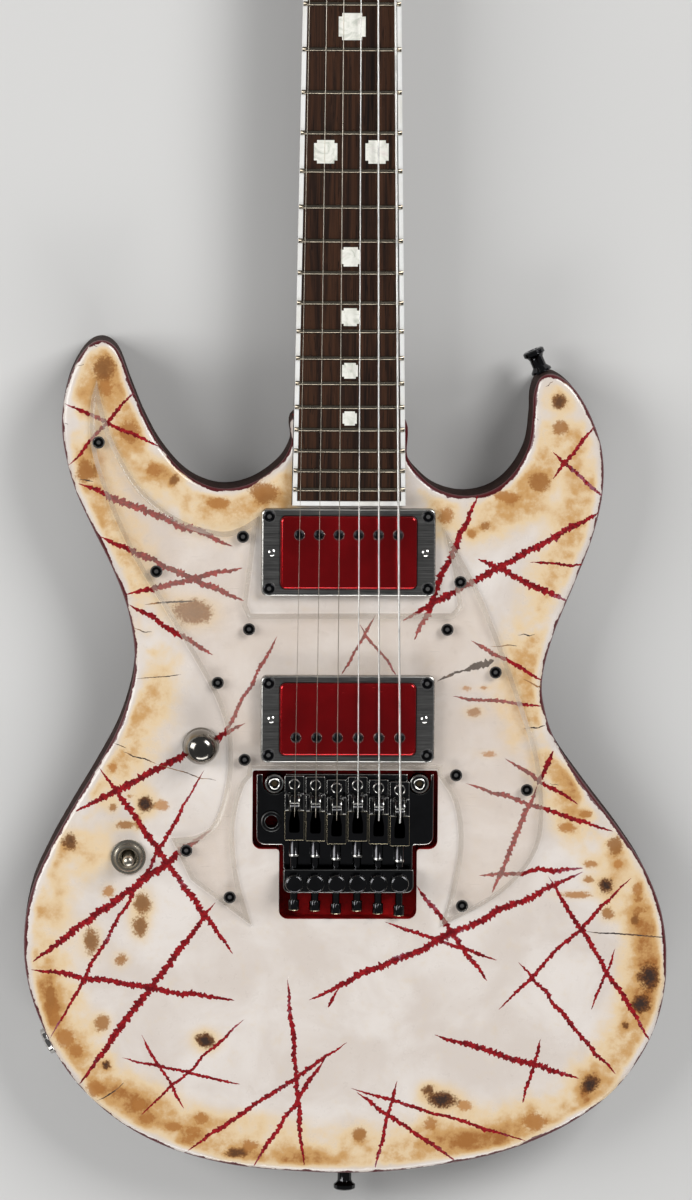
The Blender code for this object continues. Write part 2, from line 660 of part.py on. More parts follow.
def make_neck() -> None:
    lacquer = material("dark_neck_lacquer", (0.06, 0.045, 0.035), 0.3)
    tongue = HEEL_HEIGHT + GAP
    octave_y = SCALE_LENGTH / 2
    shelf_end = SCALE_LENGTH + NUT_SHELF
    thin = NECK_TOP - NECK_DEPTH_AT_NUT
    stations = [
        (BOARD_END_Y, NECK_TOP, tongue, 14),
        (BODY_KNOTS[0][1] * MM + 12 * MM, NECK_TOP, tongue, 14),
        (BODY_KNOTS[0][1] * MM + 22 * MM, NECK_TOP, tongue + 1.5 * MM, 6),
        (BODY_KNOTS[0][1] * MM + 40 * MM, NECK_TOP, NECK_TOP - NECK_DEPTH_AT_OCTAVE - 2 * MM, 3.2),
        (octave_y, NECK_TOP, NECK_TOP - NECK_DEPTH_AT_OCTAVE, 2.4),
        ((octave_y + SCALE_LENGTH) / 2, NECK_TOP, (thin + NECK_TOP - NECK_DEPTH_AT_OCTAVE) / 2, 2.3),
        (SCALE_LENGTH - 22 * MM, NECK_TOP, thin, 2.2),
        (SCALE_LENGTH - 4 * MM, NECK_TOP, thin - 2.5 * MM, 2.2),
        (shelf_end, NECK_TOP, HEAD_BACK + 1.5 * MM, 2.6),
        (shelf_end + 7 * MM, HEAD_FACE - 1 * MM, HEAD_BACK + 3 * MM, 3),
    ]
    neck = add("neck", loft([neck_section(*station) for station in stations]), lacquer)
    outline = in_metres(chain(HEAD_KNOTS, 2)) + (0, SCALE_LENGTH)
    join(neck, loft(slab_rings(outline, HEAD_BACK, HEAD_FACE, HEAD_ROUND, HEAD_ROUND, chamfer=True)))
    below, above = HEAD_BACK - 5 * MM, HEAD_FACE + 5 * MM
    cut(neck, *[cylinder(POST_HOLE_RADIUS, below, above, 8, post) for post in post_places()])


def board_surface(x: float) -> float:
    """Height of the fretboard's arched face over a place across it."""
    return BOARD_TOP - (BOARD_RADIUS - math.sqrt(BOARD_RADIUS**2 - x**2))


def fret_y(number: int) -> float:
    """Equal temperament: each fret leaves the same share of the string that is left."""
    return SCALE_LENGTH * 2 ** (-number / 12)


def fret_bar(y: float) -> bmesh.types.BMesh:
    """One fret: a crowned bar that follows the board's arch, with bevelled ends over the binding."""
    half = board_half(y) - 0.2 * MM
    bevel = 0.9 * MM
    crown = [(-1, -0.05), (-0.55, 0.9), (0.55, 0.9), (1, -0.05)]
    rings = []
    for x, tall in ((-half, 0.3), (-half + bevel, 1), (0, 1), (half - bevel, 1), (half, 0.3)):
        base = board_surface(x) - 0.02 * MM
        rings.append([(x, y + side * FRET_HALF_WIDTH, base + up * tall * FRET_HEIGHT) for side, up in crown])
    return loft(rings)


def make_fretboard() -> None:
    rosewood = material("rosewood", (0.07, 0.032, 0.022), 0.45)
    rings = []
    for y in (BOARD_END_Y + BINDING_WIDTH + GAP, SCALE_LENGTH):
        half = board_half(y) - BINDING_WIDTH - GAP
        across = np.linspace(-half, half, 3)
        foot = [(half, y, BOARD_BOTTOM), (-half, y, BOARD_BOTTOM)]
        rings.append([(x, y, board_surface(x)) for x in across] + foot)
    board = add("fretboard", loft(rings), rosewood)
    join(board, *[fret_bar(fret_y(n)) for n in range(1, FRET_COUNT + 1)])


def make_binding() -> None:
    """A white strip down both edges of the board and across its end, under the ends of the frets."""
    white = material("white_binding", (0.85, 0.85, 0.83), 0.3)
    ease = 0.37 * MM
    shares = np.linspace(-1, 1, 5)
    inner_y = BOARD_END_Y + BINDING_WIDTH
    outer_half, inner_half = board_half(BOARD_END_Y), board_half(inner_y) - BINDING_WIDTH
    nut_half = board_half(SCALE_LENGTH)
    end = [(s * outer_half, BOARD_END_Y) for s in shares]
    outer = [(-nut_half, SCALE_LENGTH), *end, (nut_half, SCALE_LENGTH)]
    nut_inner = nut_half - BINDING_WIDTH
    inner_end = [(-s * inner_half, inner_y) for s in shares]
    inner = [(nut_inner, SCALE_LENGTH), *inner_end, (-nut_inner, SCALE_LENGTH)]
    outline = np.array(outer + inner)
    foot = rise(outline, BOARD_BOTTOM)
    head = np.array([(x, y, board_surface(x) - ease) for x, y in outline])
    add("fretboard_binding", loft([foot, head]), white)


# Guard, rings and pickups

def make_guard() -> None:
    acrylic = material("clear_acrylic", (0.85, 0.83, 0.83), 0.08)
    outline = in_metres(chain(GUARD_RUNS, 2))
    rings = slab_rings(outline, GUARD_BOTTOM, GUARD_TOP, 0, GUARD_BEVEL, chamfer=True)
    guard = add("pickguard", loft(rings), acrylic)
    below, above = GUARD_BOTTOM - 5 * MM, GUARD_TOP + 5 * MM
    screws = [cylinder(GUARD_SCREW_HOLE, below, above, 6, (x * MM, y * MM)) for x, y in GUARD_SCREWS]
    neck_ring = rectangle((RING_SIZE[0] + 2 * GAP, RING_SIZE[1] + 2 * GAP), (0, NECK_RING_Y), RING_CORNER)
    wells = [prism(pickup_well(BRIDGE_RING_Y, 1 * MM), below, above), prism(neck_ring, below, above)]
    cut(guard, *wells, *screws)


def ring_screws() -> list:
    """Places of a ring's four corner screws and two height screws, from its centre."""
    x, y = RING_SIZE[0] / 2 - RING_SCREW_INSET[0], RING_SIZE[1] / 2 - RING_SCREW_INSET[1]
    side = RING_SIZE[0] / 2 - HEIGHT_SCREW_INSET
    return [(-x, -y), (x, -y), (-x, y), (x, y), (-side, 0.0), (side, 0.0)]


def make_pickup(name: str, y: float, base: float, thick: float, poles_at: float) -> None:
    brushed = material("brushed_dark_steel", (0.22, 0.225, 0.225), 0.32, 1.0)
    red = material("mirror_red", (0.5, 0.01, 0.012), 0.1, 0.6)
    top = base + thick
    outline = rectangle(RING_SIZE, radius=RING_CORNER)
    rings = slab_rings(outline, 0, thick, 0, 0.8 * MM, chamfer=True)
    ring = add(f"{name}_ring", loft(rings), brushed, at=(0, y, base))
    window = rectangle((COVER_SIZE[0] + 2 * GAP, COVER_SIZE[1] + 2 * GAP), radius=COVER_CORNER)
    holes = [cylinder(RING_SCREW_HOLE, -5 * MM, thick + 5 * MM, 6, at) for at in ring_screws()]
    cut(ring, prism(window, -5 * MM, thick + 5 * MM), *holes)

    cover_top = top + COVER_STAND
    cover = rectangle(COVER_SIZE, radius=COVER_CORNER)
    rings = slab_rings(cover, cover_top - COVER_DEPTH, cover_top, 0, 1.2 * MM)
    pickup = add(name, loft(rings), red, at=(0, y, 0))
    ear_z = cover_top - COVER_DEPTH + 4 * MM
    pole_places = [(string_x(i, y + poles_at), poles_at) for i in range(6)]
    poles = [cylinder(POLE_RADIUS, cover_top - 1 * MM, cover_top + POLE_STAND, 8, at) for at in pole_places]
    join(pickup, prism(rectangle(PICKUP_EAR[:2]), ear_z, ear_z + PICKUP_EAR[2]), *poles)


# Strings

def string_x(index: int, y: float) -> float:
    """Where a string lies across the guitar: the strings draw together towards the nut."""
    share = y / SCALE_LENGTH
    return (index - 2.5) * (SADDLE_PITCH + (NUT_PITCH - SADDLE_PITCH) * share)


def post_places() -> list:
    """Post axes by string, thin string first."""
    first, last = np.array(FIRST_POST), np.array(LAST_POST)
    return [tuple(last + (first - last) * i / 5) for i in range(6)]


def tuner_turn() -> float:
    """The turn about Z that points a tuner's own X out over the edge of the head."""
    line = np.array(LAST_POST) - np.array(FIRST_POST)
    return math.atan2(-line[0], line[1])


def retainer_string_z() -> float:
    """Height of the strings' tops under the retainer bar."""
    share = (RETAINER_Y - SCALE_LENGTH - NUT_SHELF) / (FIRST_POST[1] - SCALE_LENGTH - NUT_SHELF)
    return NUT_SEAT_Z + (HEAD_FACE + STRING_ON_POST - NUT_SEAT_Z) * min(1.0, share * 1.6)


def make_strings() -> None:
    bare = material("plain_steel_string", (0.62, 0.55, 0.42), 0.25, 1.0)
    wound = material("wound_string", (0.75, 0.75, 0.75), 0.3, 1.0)
    for i, radius in enumerate(STRING_RADII):
        post_x, post_y = post_places()[i]
        seat = string_x(i, 0)
        break_y = -SADDLE_SETS[i]
        nut_far = SCALE_LENGTH + NUT_BASE_LENGTH
        nut_x, nut_far_x = string_x(i, SCALE_LENGTH), string_x(i, nut_far)
        beside = post_x - POST_RADIUS - GAP - radius
        share = (RETAINER_Y - nut_far) / (post_y - nut_far)
        under_x = nut_far_x + (beside - nut_far_x) * share
        path = [
            (seat, break_y - 6.4 * MM, SADDLE_SEAT_Z - 3.6 * MM + radius),
            (seat, break_y - 2.6 * MM, SADDLE_SEAT_Z - 0.9 * MM + radius),
            (seat, break_y, SADDLE_SEAT_Z + radius),
            (nut_x, SCALE_LENGTH, NUT_SEAT_Z + radius),
            (nut_far_x, nut_far, NUT_SEAT_Z + radius),
            (under_x, RETAINER_Y, retainer_string_z() - radius),
            (beside, post_y, HEAD_FACE + STRING_ON_POST),
        ]
        tube(f"string_{i + 1}", np.array(path), radius, bare if i < 3 else wound, sides=0)


# Locking nut and retainer

def make_locking_nut() -> None:
    chrome = black_chrome()
    half = board_half(SCALE_LENGTH)
    top = NUT_SEAT_Z - GAP
    base = rectangle((2 * half, NUT_BASE_LENGTH), (0, NUT_FRONT_Y + NUT_BASE_LENGTH / 2))
    nut = add("locking_nut", prism(base, NECK_TOP + GAP, top), chrome)
    clamp_foot = NUT_SEAT_Z + 2 * max(STRING_RADII) + GAP
    clamp_y = NUT_FRONT_Y + NUT_BASE_LENGTH / 2
    shapes = []
    sockets = []
    for pair in (0.5, 2.5, 4.5):
        x = string_x(0, SCALE_LENGTH) + pair * NUT_PITCH
        clamp = rectangle(CLAMP_SIZE[:2], (x, clamp_y))
        clamp_top = clamp_foot + CLAMP_SIZE[2]
        shapes.append(loft(slab_rings(clamp, clamp_foot, clamp_top, 0, 1 * MM, chamfer=True)))
        shapes.append(cylinder(CLAMP_SCREW_RADIUS, top - 1 * MM, clamp_foot + 1 * MM, 8, (x, clamp_y)))
        sockets.append(cylinder(1.8 * MM, clamp_foot + 2.4 * MM, clamp_top + 2 * MM, 6, (x, clamp_y)))
    join(nut, gathered(*shapes[0::2]))
    join(nut, gathered(*shapes[1::2]))
    cut(nut, *sockets)


def make_retainer() -> None:
    """A bar across the strings behind the nut, held down by a screw at each end."""
    sloping = 1.12
    bar_z = retainer_string_z() + (GAP + RETAINER_RADIUS) * sloping
    to_x = Matrix.Rotation(math.pi / 2, 4, "Y")
    bar = turned(cylinder(RETAINER_RADIUS, -RETAINER_HALF, RETAINER_HALF, 10), to_x)
    retainer = add("string_retainer", bar, black_chrome(), at=(0, RETAINER_Y, bar_z))
    foot = HEAD_FACE + GAP - bar_z
    leg_x = RETAINER_HALF - 2 * MM
    join(retainer, *[cylinder(RETAINER_LEG_RADIUS, foot, 0.3 * MM, 8, (x, 0)) for x in (-leg_x, leg_x)])


# Tuners

def make_tuners() -> None:
    chrome = black_chrome()
    turn = tuner_turn()
    strip_top = HEAD_BACK - GAP
    strip_foot = strip_top - TUNER_STRIP_THICK
    housing_foot = strip_top - HOUSING_SIZE[2]
    places = post_places()
    line = np.array(places[0]) - np.array(places[5])
    middle = (np.array(places[0]) + np.array(places[5])) / 2
    length = float(np.linalg.norm(line)) + HOUSING_SIZE[1] + 5 * MM
    outline = rectangle((TUNER_STRIP_WIDTH, length), (1 * MM, 0), 3 * MM, 1)
    strip = prism(outline, strip_foot, strip_top)
    plate = add("tuner_plate", strip, chrome, at=(*middle, 0), turn=turn)
    spacing = float(np.linalg.norm(line)) / 5
    offsets = [spacing * (2.5 - i) for i in range(6)]
    shaft_inner = POST_RADIUS + 1.5 * MM
    boxes, bores = [], []
    to_x = Matrix.Rotation(math.pi / 2, 4, "Y")
    for along in offsets:
        box = rectangle(HOUSING_SIZE[:2], (1 * MM, along))
        boxes.append(loft(slab_rings(box, housing_foot, strip_foot + 0.5 * MM, 1 * MM, 0, chamfer=True)))
        bores.append(cylinder(POST_RADIUS + GAP, housing_foot + 2 * MM, strip_top + 2 * MM, 12, (0, along)))
        bore = turned(cylinder(KEY_SHAFT_RADIUS + GAP, shaft_inner, HOUSING_SIZE[0], 8), to_x)
        bores.append(turned(bore, Matrix.Translation((0, along, KEY_AXIS_Z))))
    join(plate, *boxes)
    cut(plate, *bores[0::2])
    cut(plate, *bores[1::2])

    shaft_start = shaft_inner + GAP
    reach = KEY_REACH
    length_x, width, thick = KEY_BUTTON
    angles = np.arange(8) * math.pi / 4
    button = [
        np.column_stack([np.full(8, reach + share * length_x), np.cos(angles) * width / 2 * wide,
                         np.sin(angles) * thick / 2 * wide])
        for share, wide in ((0.0, 0.42), (0.25, 0.85), (0.7, 1.0), (1.0, 0.8))
    ]
    waist, post_foot, post_top = HEAD_FACE + STRING_ON_POST, housing_foot + 2.3 * MM, HEAD_FACE + POST_STAND
    profile = [
        (0, post_foot), (POST_RADIUS, post_foot), (POST_RADIUS, waist - 1 * MM),
        (POST_RADIUS - 0.7 * MM, waist),
        (POST_RADIUS, waist + 1.2 * MM), (POST_RADIUS, post_top), (0, post_top),
    ]
    for i, (x, y) in enumerate(places):
        add(f"tuner_post_{i + 1}", revolve(profile, 8), steel(), at=(x, y, 0), turn=turn)
        key = add(f"tuner_key_{i + 1}", loft(button), chrome, at=(x, y, KEY_AXIS_Z), turn=turn)
        join(key, turned(cylinder(KEY_SHAFT_RADIUS, shaft_start, reach + 2 * MM, 6), to_x))


# Tremolo

def stud_cutter(x: float) -> bmesh.types.BMesh:
    """Cuts a stud's notch from the plate, and leaves its back as a knife edge in the stud's groove."""
    wide = STUD_HEAD_RADIUS + 1 * MM
    edge = STUD_NECK_RADIUS + GAP
    high = PLATE_THICK / 2 + 1 * MM
    flare = PLATE_THICK / 2
    profile = [(0, -high), (wide, -high), (wide, -flare), (edge, 0), (wide, flare), (wide, high), (0, high)]
    bm = revolve(profile, 12)
    bmesh.ops.translate(bm, verts=bm.verts, vec=(x, STUD_Y - PIVOT_Y, 0))
    return bm


def notch_mouth(x: float) -> bmesh.types.BMesh:
    """Opens a stud's notch to the front edge of the plate."""
    half = STUD_HEAD_RADIUS + 0.9 * MM
    front = PLATE_FRONT - PIVOT_Y + 2 * MM
    outline = box_outline(x - half, x + half, STUD_Y - PIVOT_Y + 1.5 * MM, front)
    return prism(outline, -PLATE_THICK, PLATE_THICK)


def make_tremolo_frame() -> bpy.types.Object:
    """The empty on the knife edges' line. The tremolo's pieces hang on it and are made in its frame."""
    frame = bpy.data.objects.new("tremolo_axis", None)
    bpy.context.scene.collection.objects.link(frame)
    frame.location = (0, PIVOT_Y, KNIFE_Z)
    frame.parent = bpy.data.objects["guitar_frame"]
    return frame


def make_base_plate(frame: bpy.types.Object) -> None:
    chrome = black_chrome()
    down = PLATE_THICK / 2
    outline = plate_outline(0.0) - (0, PIVOT_Y)
    rings = slab_rings(outline, -down, down, 0, 0.6 * MM, chamfer=True)
    plate = add("base_plate", loft(rings), chrome, parent=frame)
    flange_foot = down + FLANGE_RISE - FLANGE_THICK
    back, front = TAIL_BACK - PIVOT_Y + 0.2 * MM, FLANGE_FRONT - PIVOT_Y
    west, east = TAIL_WEST + 0.2 * MM, TAIL_EAST - 0.2 * MM
    top = down + FLANGE_RISE
    inner_west, inner_east = west + FLANGE_WALL, east - FLANGE_WALL
    arch = [(west, -1 * MM), (west, top), (east, top), (east, -1 * MM), (inner_east, -1 * MM),
            (inner_east, flange_foot), (inner_west, flange_foot), (inner_west, -1 * MM)]
    corners = [1.2 * MM if z == top else 0.01 * MM for _, z in arch]
    section = rounded(arch, corners, 2)
    x, z = section.T
    rings = [np.column_stack([x, np.full(len(x), y), z]) for y in (back, front)]
    join(plate, loft(rings))
    cut(plate, stud_cutter(-STUD_X), stud_cutter(STUD_X))
    cut(plate, notch_mouth(-STUD_X), notch_mouth(STUD_X))
    stems = [cylinder(TUNER_STEM_RADIUS + RUN_GAP, flange_foot - 2 * MM, top + 2 * MM, 8,
                      (string_x(i, 0), TUNER_KNOB_Y - PIVOT_Y)) for i in range(6)]
    stems.append(cylinder(socket_tube_radius() + GAP, -2 * down, 2 * down, 12, (ARM_X, ARM_Y - PIVOT_Y)))
    cut(plate, *stems)


def socket_tube_radius() -> float:
    return ARM_HOLE_RADIUS + 1.3 * MM


def make_arm_socket(frame: bpy.types.Object) -> None:
    """The empty socket of the tremolo arm: a collar over the plate, a tube through it and a nut under it."""
    down = PLATE_THICK / 2
    hole, tube_radius = ARM_HOLE_RADIUS, socket_tube_radius()
    profile = [
        (hole + 0.3 * MM, down + 2 * MM), (5 * MM, down + 1.6 * MM), (5.4 * MM, down + GAP),
        (tube_radius, down + GAP), (tube_radius, -down - GAP), (6 * MM, -down - GAP),
        (6 * MM, -down - 4 * MM), (hole, -down - 4 * MM),
        (hole, down + 1.6 * MM),
    ]
    add("arm_socket", revolve(profile, 12), black_chrome(), at=(ARM_X, ARM_Y - PIVOT_Y, 0), parent=frame)


def make_sustain_block(frame: bpy.types.Object) -> None:
    iron = material("dark_cast_block", (0.12, 0.12, 0.12), 0.5, 1.0)
    rings = []
    for (y0, y1), z, ease in ((BLOCK_FOOT_Y, BLOCK_FOOT_Z, 2 * MM), (BLOCK_TOP_Y, PLATE_BOTTOM - GAP, 0)):
        outline = box_outline(-BLOCK_HALF_X + ease, BLOCK_HALF_X - ease, y0 - PIVOT_Y, y1 - PIVOT_Y)
        rings.append(rise(np.array(outline), z - KNIFE_Z))
    block = add("sustain_block", loft(rings), iron, parent=frame)
    back_to_front = Matrix.Rotation(-math.pi / 2, 4, "X")
    holes = []
    for x in SPRING_XS:
        hole = turned(cylinder(SPRING_WIRE + RUN_GAP, -4 * MM, 8 * MM, 8), back_to_front)
        holes.append(turned(hole, Matrix.Translation((x, BLOCK_FOOT_Y[1] - PIVOT_Y, SPRING_Z - KNIFE_Z))))
    cut(block, *holes)


def saddle_side() -> np.ndarray:
    """A saddle seen from its side, as (y, z) points from its break point.

    It has a low foot, the arch that the string bends over, and the housing of the string clamp.
    """
    seat = SADDLE_SEAT_Z - PLATE_TOP - GAP
    foot = GAP
    bend, middle = 2.4 * MM, 1.6 * MM
    turns = np.linspace(0, math.pi / 2, 3)
    arch = [(middle + bend * math.cos(a), seat - bend + bend * math.sin(a)) for a in turns]
    back = [(-2 * MM, seat - 0.7 * MM), (-5 * MM, seat - 3 * MM), (SADDLE_BACK + 1 * MM, seat - 3 * MM),
            (SADDLE_BACK, seat - 4 * MM), (SADDLE_BACK, foot)]
    toe = foot + 4.2 * MM
    tip = SADDLE_FRONT
    front = [(tip, foot), (tip, toe - 0.6 * MM), (tip - 1 * MM, toe), (5.5 * MM, toe)]
    return np.array(front + arch + back)


def make_saddles(frame: bpy.types.Object) -> None:
    chrome = black_chrome()
    half = SADDLE_WIDTH / 2
    seat = SADDLE_SEAT_Z - PLATE_TOP - GAP
    side = saddle_side()
    backwards = Matrix.Rotation(math.pi / 2, 4, "X")
    for i, setting in enumerate(SADDLE_SETS):
        at = (string_x(i, 0), -setting - PIVOT_Y, PLATE_THICK / 2)
        rings = [np.column_stack([np.full(len(side), x), side]) for x in (-half, half)]
        saddle = add(f"saddle_{i + 1}", loft(rings), chrome, at=at, parent=frame)
        screw = cylinder(LOCK_SCREW_RADIUS, -SADDLE_BACK - 2 * MM, -LOCK_HEAD_FROM + 1 * MM, 6)
        head = turned(cylinder(LOCK_HEAD_RADIUS, -LOCK_HEAD_FROM, -LOCK_HEAD_TO, 8), backwards)
        lift = Matrix.Translation((0, 0, LOCK_SCREW_RISE))
        set_screw = cylinder(2.3 * MM, 3 * MM, foot_screw_top(), 6, (0, 9.4 * MM))
        join(saddle, turned(turned(screw, backwards), lift), set_screw)
        join(saddle, turned(head, lift))
        channel = box_outline(-1.3 * MM, 1.3 * MM, -9 * MM, -3.2 * MM)
        cut(saddle, prism(channel, seat - 6.5 * MM, seat + 2 * MM))


def foot_screw_top() -> float:
    return GAP + 5.6 * MM


def make_fine_tuners(frame: bpy.types.Object) -> None:
    chrome = black_chrome()
    flange_top = PLATE_THICK / 2 + FLANGE_RISE
    stem_foot = PLATE_THICK / 2 + LOCK_SCREW_RISE + LOCK_SCREW_RADIUS + GAP
    foot = flange_top + GAP
    top = foot + TUNER_KNOB_HEIGHT
    profile = [
        (0, stem_foot), (TUNER_STEM_RADIUS, stem_foot), (TUNER_STEM_RADIUS, foot), (TUNER_KNOB_RADIUS, foot),
        (TUNER_KNOB_RADIUS, top - 0.8 * MM), (TUNER_KNOB_RADIUS - 0.8 * MM, top), (0, top),
    ]
    for i in range(6):
        at = (string_x(i, 0), TUNER_KNOB_Y - PIVOT_Y, 0)
        add(f"fine_tuner_{i + 1}", revolve(profile, 10), chrome, at=at, parent=frame)


def make_studs() -> None:
    head = KNIFE_Z + STUD_NECK_HALF
    profile = [
        (0, RECESS_FLOOR - STUD_DEPTH + 10 * MM), (STUD_SHAFT_RADIUS, RECESS_FLOOR - STUD_DEPTH + 10 * MM),
        (STUD_SHAFT_RADIUS, RECESS_FLOOR + GAP), (STUD_HEAD_RADIUS, RECESS_FLOOR + GAP),
        (STUD_HEAD_RADIUS, KNIFE_Z - STUD_NECK_HALF), (STUD_NECK_RADIUS, KNIFE_Z - STUD_NECK_HALF),
        (STUD_NECK_RADIUS, head), (STUD_HEAD_RADIUS, head),
        (STUD_HEAD_RADIUS, head + STUD_HEAD_THICK - 0.6 * MM),
        (STUD_HEAD_RADIUS - 0.6 * MM, head + STUD_HEAD_THICK), (0, head + STUD_HEAD_THICK),
    ]
    for name, x in (("pivot_stud_treble", -STUD_X), ("pivot_stud_bass", STUD_X)):
        stud = add(name, revolve(profile, 12), black_chrome(), at=(x, STUD_Y, 0))
        cut(stud, cylinder(1.7 * MM, head + 0.8 * MM, head + STUD_HEAD_THICK + 2 * MM, 6))


# Springs, claw and back covers

def make_springs() -> None:
    """Three coil springs between the block and the claw. Each ends in a straight wire on its axis."""
    start, end = BLOCK_FOOT_Y[1] + GAP, CLAW_Y - GAP
    coil_start, coil_end = start + 12 * MM, end - 9 * MM
    angles = np.linspace(0, SPRING_TURNS * 2 * math.pi, SPRING_TURNS * 6 + 1)
    run = coil_start + (coil_end - coil_start) * angles / angles[-1]
    for number, x in enumerate(SPRING_XS, 1):
        sideways, upwards = SPRING_RADIUS * np.cos(angles), SPRING_RADIUS * np.sin(angles)
        coil = np.column_stack([x + sideways, run, SPRING_Z + upwards])
        lead = [(x, start, SPRING_Z), (x, coil_start - 3 * MM, SPRING_Z)]
        tail = [(x, coil_end + 3 * MM, SPRING_Z), (x, end, SPRING_Z)]
        tube(f"spring_{number}", np.vstack([lead, coil, tail]), SPRING_WIRE, steel(), sides=0)


def make_claw() -> None:
    """The plate that the springs pull on, held by two long screws in the end wall of the bay."""
    along_y = Matrix.Rotation(-math.pi / 2, 4, "X")
    plate = turned(prism(rectangle((54 * MM, 10 * MM)), 0, CLAW_THICK), along_y)
    claw = add("spring_claw", plate, steel(), at=(0, CLAW_Y, SPRING_Z))
    reach = CLAW_SCREW_END - CLAW_Y
    pieces = []
    for x in (-CLAW_SCREW_X, CLAW_SCREW_X):
        profile = [(0, -2.2 * MM), (3 * MM, -2.2 * MM), (4 * MM, -0.8 * MM), (4 * MM, 0.5 * MM),
                   (CLAW_SCREW_RADIUS, 0.5 * MM), (CLAW_SCREW_RADIUS, reach), (0, reach)]
        pieces.append(turned(turned(revolve(profile, 8), along_y), Matrix.Translation((x, 0, 0))))
    join(claw, *pieces)


def make_back_covers() -> None:
    black = material("black_cover", (0.03, 0.03, 0.03), 0.4)
    for name, outline in bay_cover_outlines().items():
        add(name, prism(outline, GAP, GAP + COVER_THICK), black)


# Controls and side fittings

def make_volume_control() -> None:
    floor = CONTROL_BAY_DEPTH - GAP
    nut_top = BODY_TOP + 3 * MM
    bore = POT_SHAFT_RADIUS + GAP
    shaft_foot = floor - 2 * MM
    hex_foot, hex_top = BODY_TOP + GAP, BODY_TOP + 2.2 * MM
    can = [
        (0, floor - POT_CAN_HEIGHT), (POT_CAN_RADIUS, floor - POT_CAN_HEIGHT), (POT_CAN_RADIUS, floor),
        (POT_BUSH_RADIUS, floor), (POT_BUSH_RADIUS, hex_foot), (6 * MM, hex_foot), (6 * MM, hex_top),
        (POT_BUSH_RADIUS, hex_top), (POT_BUSH_RADIUS, nut_top), (bore, nut_top), (bore, shaft_foot - GAP),
        (0, shaft_foot - GAP),
    ]
    add("volume_pot", revolve(can, 12), steel(), at=(KNOB_X, KNOB_Y, 0))
    skirt, top = BODY_TOP + 0.8 * MM, BODY_TOP + KNOB_HEIGHT
    crown = KNOB_RADIUS * 0.62
    turns = np.linspace(0, math.pi / 2, 5)[:-1]
    dome = [(KNOB_RADIUS * math.cos(a), top - crown + crown * math.sin(a)) for a in turns]
    hollow, ceiling = KNOB_RADIUS - 1.6 * MM, nut_top + 2 * MM
    knob = [(0, shaft_foot), (POT_SHAFT_RADIUS, shaft_foot), (POT_SHAFT_RADIUS, ceiling), (hollow, ceiling),
            (hollow, skirt), (KNOB_RADIUS + 0.4 * MM, skirt), (KNOB_RADIUS + 0.4 * MM, skirt + 2 * MM)]
    add("volume_knob", revolve(knob + dome + [(0, top)], 16), steel(), at=(KNOB_X, KNOB_Y, 0))


def lever_pivot_z() -> float:
    return BODY_TOP - 3.5 * MM


def make_selector() -> None:
    floor = CONTROL_BAY_DEPTH - GAP
    mouth = BODY_TOP + 5.2 * MM
    bore_foot = lever_pivot_z() - LEVER_BALL_RADIUS - GAP
    step = SWITCH_STEP_RADIUS
    profile = [
        (0, floor - 14 * MM), (8 * MM, floor - 14 * MM), (8 * MM, floor), (SWITCH_BUSH_RADIUS, floor),
        (SWITCH_BUSH_RADIUS, BODY_TOP + GAP), (SWITCH_NUT_RADIUS, BODY_TOP + GAP),
        (SWITCH_NUT_RADIUS, BODY_TOP + 2 * MM), (step, BODY_TOP + 2.8 * MM), (step, mouth - 0.6 * MM),
        (step - 0.6 * MM, mouth),
        (SWITCH_BORE_RADIUS, mouth), (SWITCH_BORE_RADIUS, bore_foot), (0, bore_foot),
    ]
    add("selector_switch", revolve(profile, 12), steel(), at=(SWITCH_X, SWITCH_Y, 0))
    turns = np.linspace(0, 0.85 * math.pi, 5)
    ball = [(LEVER_BALL_RADIUS * math.sin(a), -LEVER_BALL_RADIUS * math.cos(a)) for a in turns]
    tip_foot = mouth - lever_pivot_z() + 1.2 * MM
    tip_top = tip_foot + LEVER_TIP_LENGTH
    tip = LEVER_TIP_RADIUS
    rod = [(LEVER_ROD_RADIUS, tip_foot), (tip, tip_foot + 2 * MM), (tip, tip_top - 1.5 * MM),
           (tip * 0.6, tip_top - 0.3 * MM), (0, tip_top)]
    add("selector_lever", revolve(ball + rod, 8), steel(), at=(SWITCH_X, SWITCH_Y, lever_pivot_z()))


def make_output_jack() -> None:
    place, outward = side_place(JACK_NEAR)
    bore, nut = JACK_BORE_RADIUS, JACK_NUT_RADIUS
    inner = -JACK_CAN_DEPTH
    profile = [
        (bore, 4 * MM), (nut - 1 * MM, 4 * MM), (nut, 3.4 * MM), (nut, 1.3 * MM), (nut + 2 * MM, 1.3 * MM),
        (nut + 2 * MM, 0.5 * MM), (JACK_CAN_RADIUS, 0.5 * MM), (JACK_CAN_RADIUS, inner), (0, inner),
        (0, inner + 1.5 * MM), (bore, inner + 1.5 * MM),
    ]
    # The bore is blind, so the profile runs from its floor on the axis to its closed end on the axis
    order = profile[9:] + profile[:9]
    add("output_jack", turned(revolve(order, 16), facing(place, outward, SIDE_HEIGHT)), steel())


def make_strap_button(name: str, near: tuple) -> None:
    place, outward = side_place(near)
    head = BUTTON_LENGTH - 2.6 * MM
    neck, rim = BUTTON_NECK_RADIUS, BUTTON_HEAD_RADIUS
    profile = [
        (0, GAP), (5.3 * MM, GAP), (5.3 * MM, 1.4 * MM), (neck, 3 * MM), (neck, head - 1.6 * MM),
        (rim, head),
        (rim, BUTTON_LENGTH - 0.7 * MM), (rim - 0.9 * MM, BUTTON_LENGTH), (0, BUTTON_LENGTH),
    ]
    add(name, turned(revolve(profile, 12), facing(place, outward, SIDE_HEIGHT)), black_chrome())


